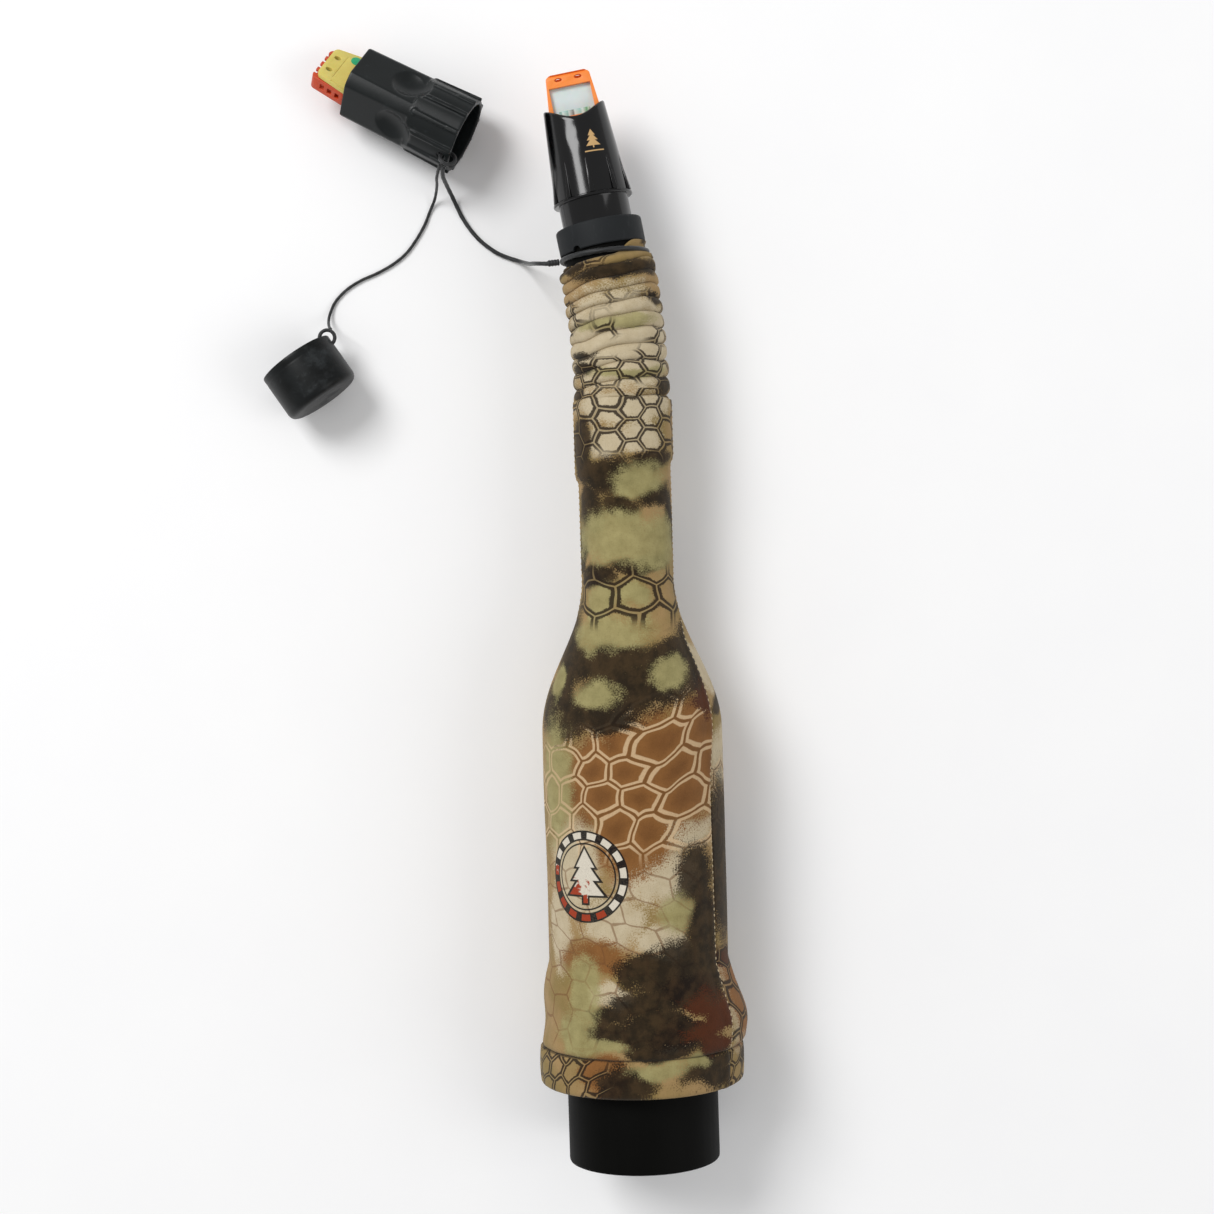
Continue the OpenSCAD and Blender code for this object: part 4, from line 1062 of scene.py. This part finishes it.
drum_skin("bugle_cartridge_latex", ON_BUGLE_MOUTH, "bugle_reed", "bugle_reed_latex", -1)
repaint(orange_plastic, "bugle_reed_plug")
bpy.ops.mesh.primitive_grid_add(x_subdivisions=24, y_subdivisions=4, size=1)
tape = bpy.context.object
tape.name = tape.data.name = "bugle_cartridge_tape"
for vertex in tape.data.vertices:
    x, y = vertex.co.x, vertex.co.y
    vertex.co = (15.5 * x, 2.62 + 0.2 * (1 - 3 * x * x) + 0.03 * y, -0.9 + 5.2 * y)
film = tape.modifiers.new("film", "SOLIDIFY")
film.thickness, film.offset = 0.12, 0
bpy.ops.object.modifier_apply(modifier=film.name)
seat(tape, ON_BUGLE_MOUTH)
tape.data.shade_smooth()
hand_over(tape, printed_tape, "bugle_reed", "teal_tape", "bugle_reed_strip")

# local Z runs from the tethered call's wide end to its mouth
ON_TETHER = (Matrix.Translation((-0.076, 0.518, -0.023))
             @ Matrix.Rotation(math.radians(61.5), 4, "Z")
             @ Matrix.Rotation(-math.asin(2.5 / 63), 4, "X")
             @ ALONG_TUBE @ Matrix.Rotation(math.radians(35), 4, "Z"))
ON_TETHER_MOUTH = ON_TETHER @ Matrix.Translation((0, 0, 0.063))
yellow_frame = plate("tether_cartridge_frame", 27.6, 21.4, 0.3, 17.4, 2.4, 4.8,
                     [*[("hole", (x, 4, 13.4), (2.6, 3.6, 8)) for x in (-4.8, 4.8)],
                      ("block", (0, 5.1, 9.2), (17, 1.0, 0.8)),
                      ("block", (11.2, 5.2, 5), (1, 1.2, 8))], ON_TETHER_MOUTH, 0.6)
hand_over(yellow_frame, yellow_plastic, "tether_reed", "yellow_plastic", "tether_reed_frame")
red_base = plate("tether_cartridge_base", 27.4, 22.4, 0.3, 20, -6, 2,
                 [("block", (0, -2, 8), (14, 4.4, 30)),
                  *[("block", (x, 1, 19.6), (2.2, 5, 2.6)) for x in (-7, -2.4, 2.4, 7)],
                  ("block", (0, 1.5, 7), (14, 8, 8)), *side_slots], ON_TETHER_MOUTH, 0.4)
hand_over(red_base, red_plastic, "tether_reed", "orange_plastic", "tether_reed_base")
drum_skin("tether_cartridge_latex", ON_TETHER_MOUTH, "tether_reed", "tether_reed_latex", 1)
repaint(red_plastic, "tether_reed_plug")

green_enamel, ink, shader = finish("green_enamel", Roughness=0.4)
spot = ink.node("TexCoord", {}, output=3)
spot.grain(700.0).over(paint(22, 150, 98), paint(40, 176, 120)).into(shader, "Base Color")
spot.grain(900.0).relief(shader, 0.00005, 0.4)
mark = turned("tether_cartridge_mark", [(2.7, 0), (2.8, 0.1), (2.75, 0.24), (2.5, 0.3), (0, 0.3)],
              40, ON_TETHER_MOUTH @ Matrix.Translation((-0.0086, 0.0048, 0.0046))
              @ Matrix.Rotation(-math.pi / 2, 4, "X"))
hand_over(mark, green_enamel, "tether_reed", "teal_tape", "tether_reed_mark")

# ---- Tethered call -----------------------------------------------------------------------
# A moulded barrel with a satin finish: round and ribbed at its wide end, square with soft
# corners at its mouth, and a thumb scoop in each flat.

satin_black, ink, shader = finish("satin_black", Specular_IOR_Level=0.3)
spot = ink.node("TexCoord", {}, output=3)
cloud, pits = spot.grain(70.0, 4.0), spot.grain(1700.0, 3.0, 0.65)
rub = spot.grain(240.0, 5.0, 0.7).rise(0.58, 0.75)
tone = cloud.over(paint(9, 13, 13), paint(19, 24, 25))
(rub * 0.3).over(tone, paint(54, 60, 62)).into(shader, "Base Color")
(cloud * 0.12 + rub * 0.1 + 0.3).into(shader, "Roughness")
(pits * 0.8 + rub * 0.4).relief(shader, 0.00007, 0.6)


def cone_piece(low, high, start, end):
    """A round block between two heights, with its radius at each."""
    bpy.ops.mesh.primitive_cone_add(vertices=144, radius1=low, radius2=high, depth=end - start,
                                    location=(0, 0, (start + end) / 2))
    return bpy.context.object


def block_piece(size, middle, turn=0.0):
    """A square block about its middle, turned about local Z."""
    bpy.ops.mesh.primitive_cube_add(size=1, location=middle, rotation=(0, 0, turn))
    bpy.context.object.scale = size
    bpy.ops.object.transform_apply(location=False, rotation=False, scale=True)
    return bpy.context.object


CALL_LENGTH, RIB_RADIUS, RIB_END = 63, 19.2, 25
tether = cone_piece(19.5, 18.5, 0, CALL_LENGTH)
core = block_piece((31.08, 31.08, CALL_LENGTH), (0, 0, CALL_LENGTH / 2))
combine(core, cone_piece(19.5, 19.5, 0, 27), "UNION")
combine(tether, core, "INTERSECT")
fins = []
for number in range(12):
    turn = math.radians(15 + 30 * number)
    x, y = RIB_RADIUS * math.cos(turn), RIB_RADIUS * math.sin(turn)
    fins.append(block_piece((3.6, 2.3, RIB_END), (x, y, RIB_END / 2), turn))
    bpy.ops.mesh.primitive_uv_sphere_add(segments=20, ring_count=12, radius=1.3,
                                         location=(x, y, RIB_END))
    bpy.context.object.scale = (1.38, 1.38, 1)
    combine(fins[-1], bpy.context.object, "UNION")
pick(*fins[1:], fins[0])
bpy.ops.object.join()
combine(fins[0], cone_piece(21, 18.5, 0, CALL_LENGTH), "INTERSECT")
combine(tether, fins[0], "UNION")
for number in range(4):
    turn = math.pi / 2 * number
    bpy.ops.mesh.primitive_uv_sphere_add(segments=72, ring_count=48, radius=16, location=(
        29.04 * math.cos(turn), 29.04 * math.sin(turn), 35))
    combine(tether, bpy.context.object, "DIFFERENCE")
combine(tether, cone_piece(17.3, 17.3, -1, 24), "DIFFERENCE")
combine(tether, cone_piece(11.3, 11.3, 1, CALL_LENGTH + 1), "DIFFERENCE")
# the lanyard's hole, cut while the piece is still in millimetres
HOLE_RADIUS = 1.9
combine(tether, peg(HOLE_RADIUS, 14, Matrix.Rotation(math.radians(-2), 4, "Z")
                    @ Matrix.Translation((20, 0, 4.7)) @ Matrix.Scale(1000, 4)), "DIFFERENCE")
fuse = tether.modifiers.new("fuse", "REMESH")
fuse.mode, fuse.voxel_size = "VOXEL", 0.48
bpy.ops.object.modifier_apply(modifier=fuse.name)
soften = tether.modifiers.new("soften", "SMOOTH")
soften.iterations = 5
bpy.ops.object.modifier_apply(modifier=soften.name)
tether.name = tether.data.name = "tethered_call_barrel"
seat(tether, ON_TETHER)
tether.data.shade_smooth()
hand_over(tether, satin_black, "tether_call", "satin_black", "tether_barrel")


def knotted_ring(name, place, middle_r, body, node):
    """A loop of cord through the hole near a rim, round the wall."""
    line = [place @ (Vector((middle_r + 3.9 * math.cos(a), 0, 3.9 * math.sin(a))) / 1000)
            for a in np.linspace(0, 2 * math.pi, 73)]
    piece = braid(name, line, 0.00098, closed=True, sides=14, pitch=0.0042)
    hand_over(piece, cord_black, body, "lanyard_cord", node)


knotted_ring("tether_loop_cord", ON_TETHER @ Matrix.Rotation(math.radians(-2), 4, "Z")
             @ Matrix.Translation((0, 0, 0.0008)), 18.65, "tether_call", "tether_knot")

# ---- Mouth cap ---------------------------------------------------------------------------
# A soft moulded cup that pushes over a call's mouth, tied to the end of the lanyard through
# a hole near its rim.

cap_rubber, ink, shader = finish("cap_rubber", Specular_IOR_Level=0.22)
spot = ink.node("TexCoord", {}, output=3)
cloud, pits = spot.grain(75.0, 5.0, 0.6), spot.grain(1900.0, 3.0, 0.65)
chalk = spot.grain(48.0, 5.0, 0.62).rise(0.5, 0.68)
rub = spot.grain(300.0, 5.0, 0.7, (1.0, 1.0, 0.5)).rise(0.56, 0.75)
tone = cloud.rise(0.35, 0.65).over(paint(7, 9, 9), paint(18, 21, 22))
(chalk * 0.45 + rub * 0.22).over(tone, paint(66, 70, 72)).into(shader, "Base Color")
(cloud * 0.2 + chalk * 0.2 + 0.3).into(shader, "Roughness")
(pits * 0.8 + rub * 0.5).relief(shader, 0.00009, 0.6)

ON_CAP = (Matrix.Translation((-0.166, 0.4075, -0.024)) @ Matrix.Rotation(math.radians(33.5), 4, "Z")
          @ ALONG_TUBE)
cap_outline = [(20, -0.7), (19.8, -0.2), (19.2, 0), (18.6, -0.2), (18.25, -0.8), (18.2, -2),
               (18.2, -21), (17.6, -23), (15.7, -24.2), (0.01, -24.2)]
outer_outline = [(20, -0.7), (20, -1.6), (19.92, -3.4), (19.86, -3.8), (19.92, -4.2), (20, -5),
                 (20, -22), (19.85, -23.1), (19.4, -24.2), (18.7, -25), (17.6, -25.6),
                 (16.2, -25.9), (10, -26), (0.01, -26)]
cap = turned("mouth_cap_cup", cap_outline[::-1] + outer_outline[1:], 144, ON_CAP, 40)
combine(cap, peg(HOLE_RADIUS, 9, ON_CAP @ Matrix.Rotation(math.pi, 4, "Z")
                 @ Matrix.Translation((0.0195, 0, -0.0047))), "DIFFERENCE")
pick(cap)
bpy.ops.object.shade_smooth_by_angle(angle=math.radians(38))
hand_over(cap, cap_rubber, "cap", "satin_black", "mouth_cap")
knotted_ring("cap_loop_cord", ON_CAP @ Matrix.Rotation(math.pi, 4, "Z")
             @ Matrix.Translation((0, 0, -0.0008)), 19.1, "cap", "cap_knot")
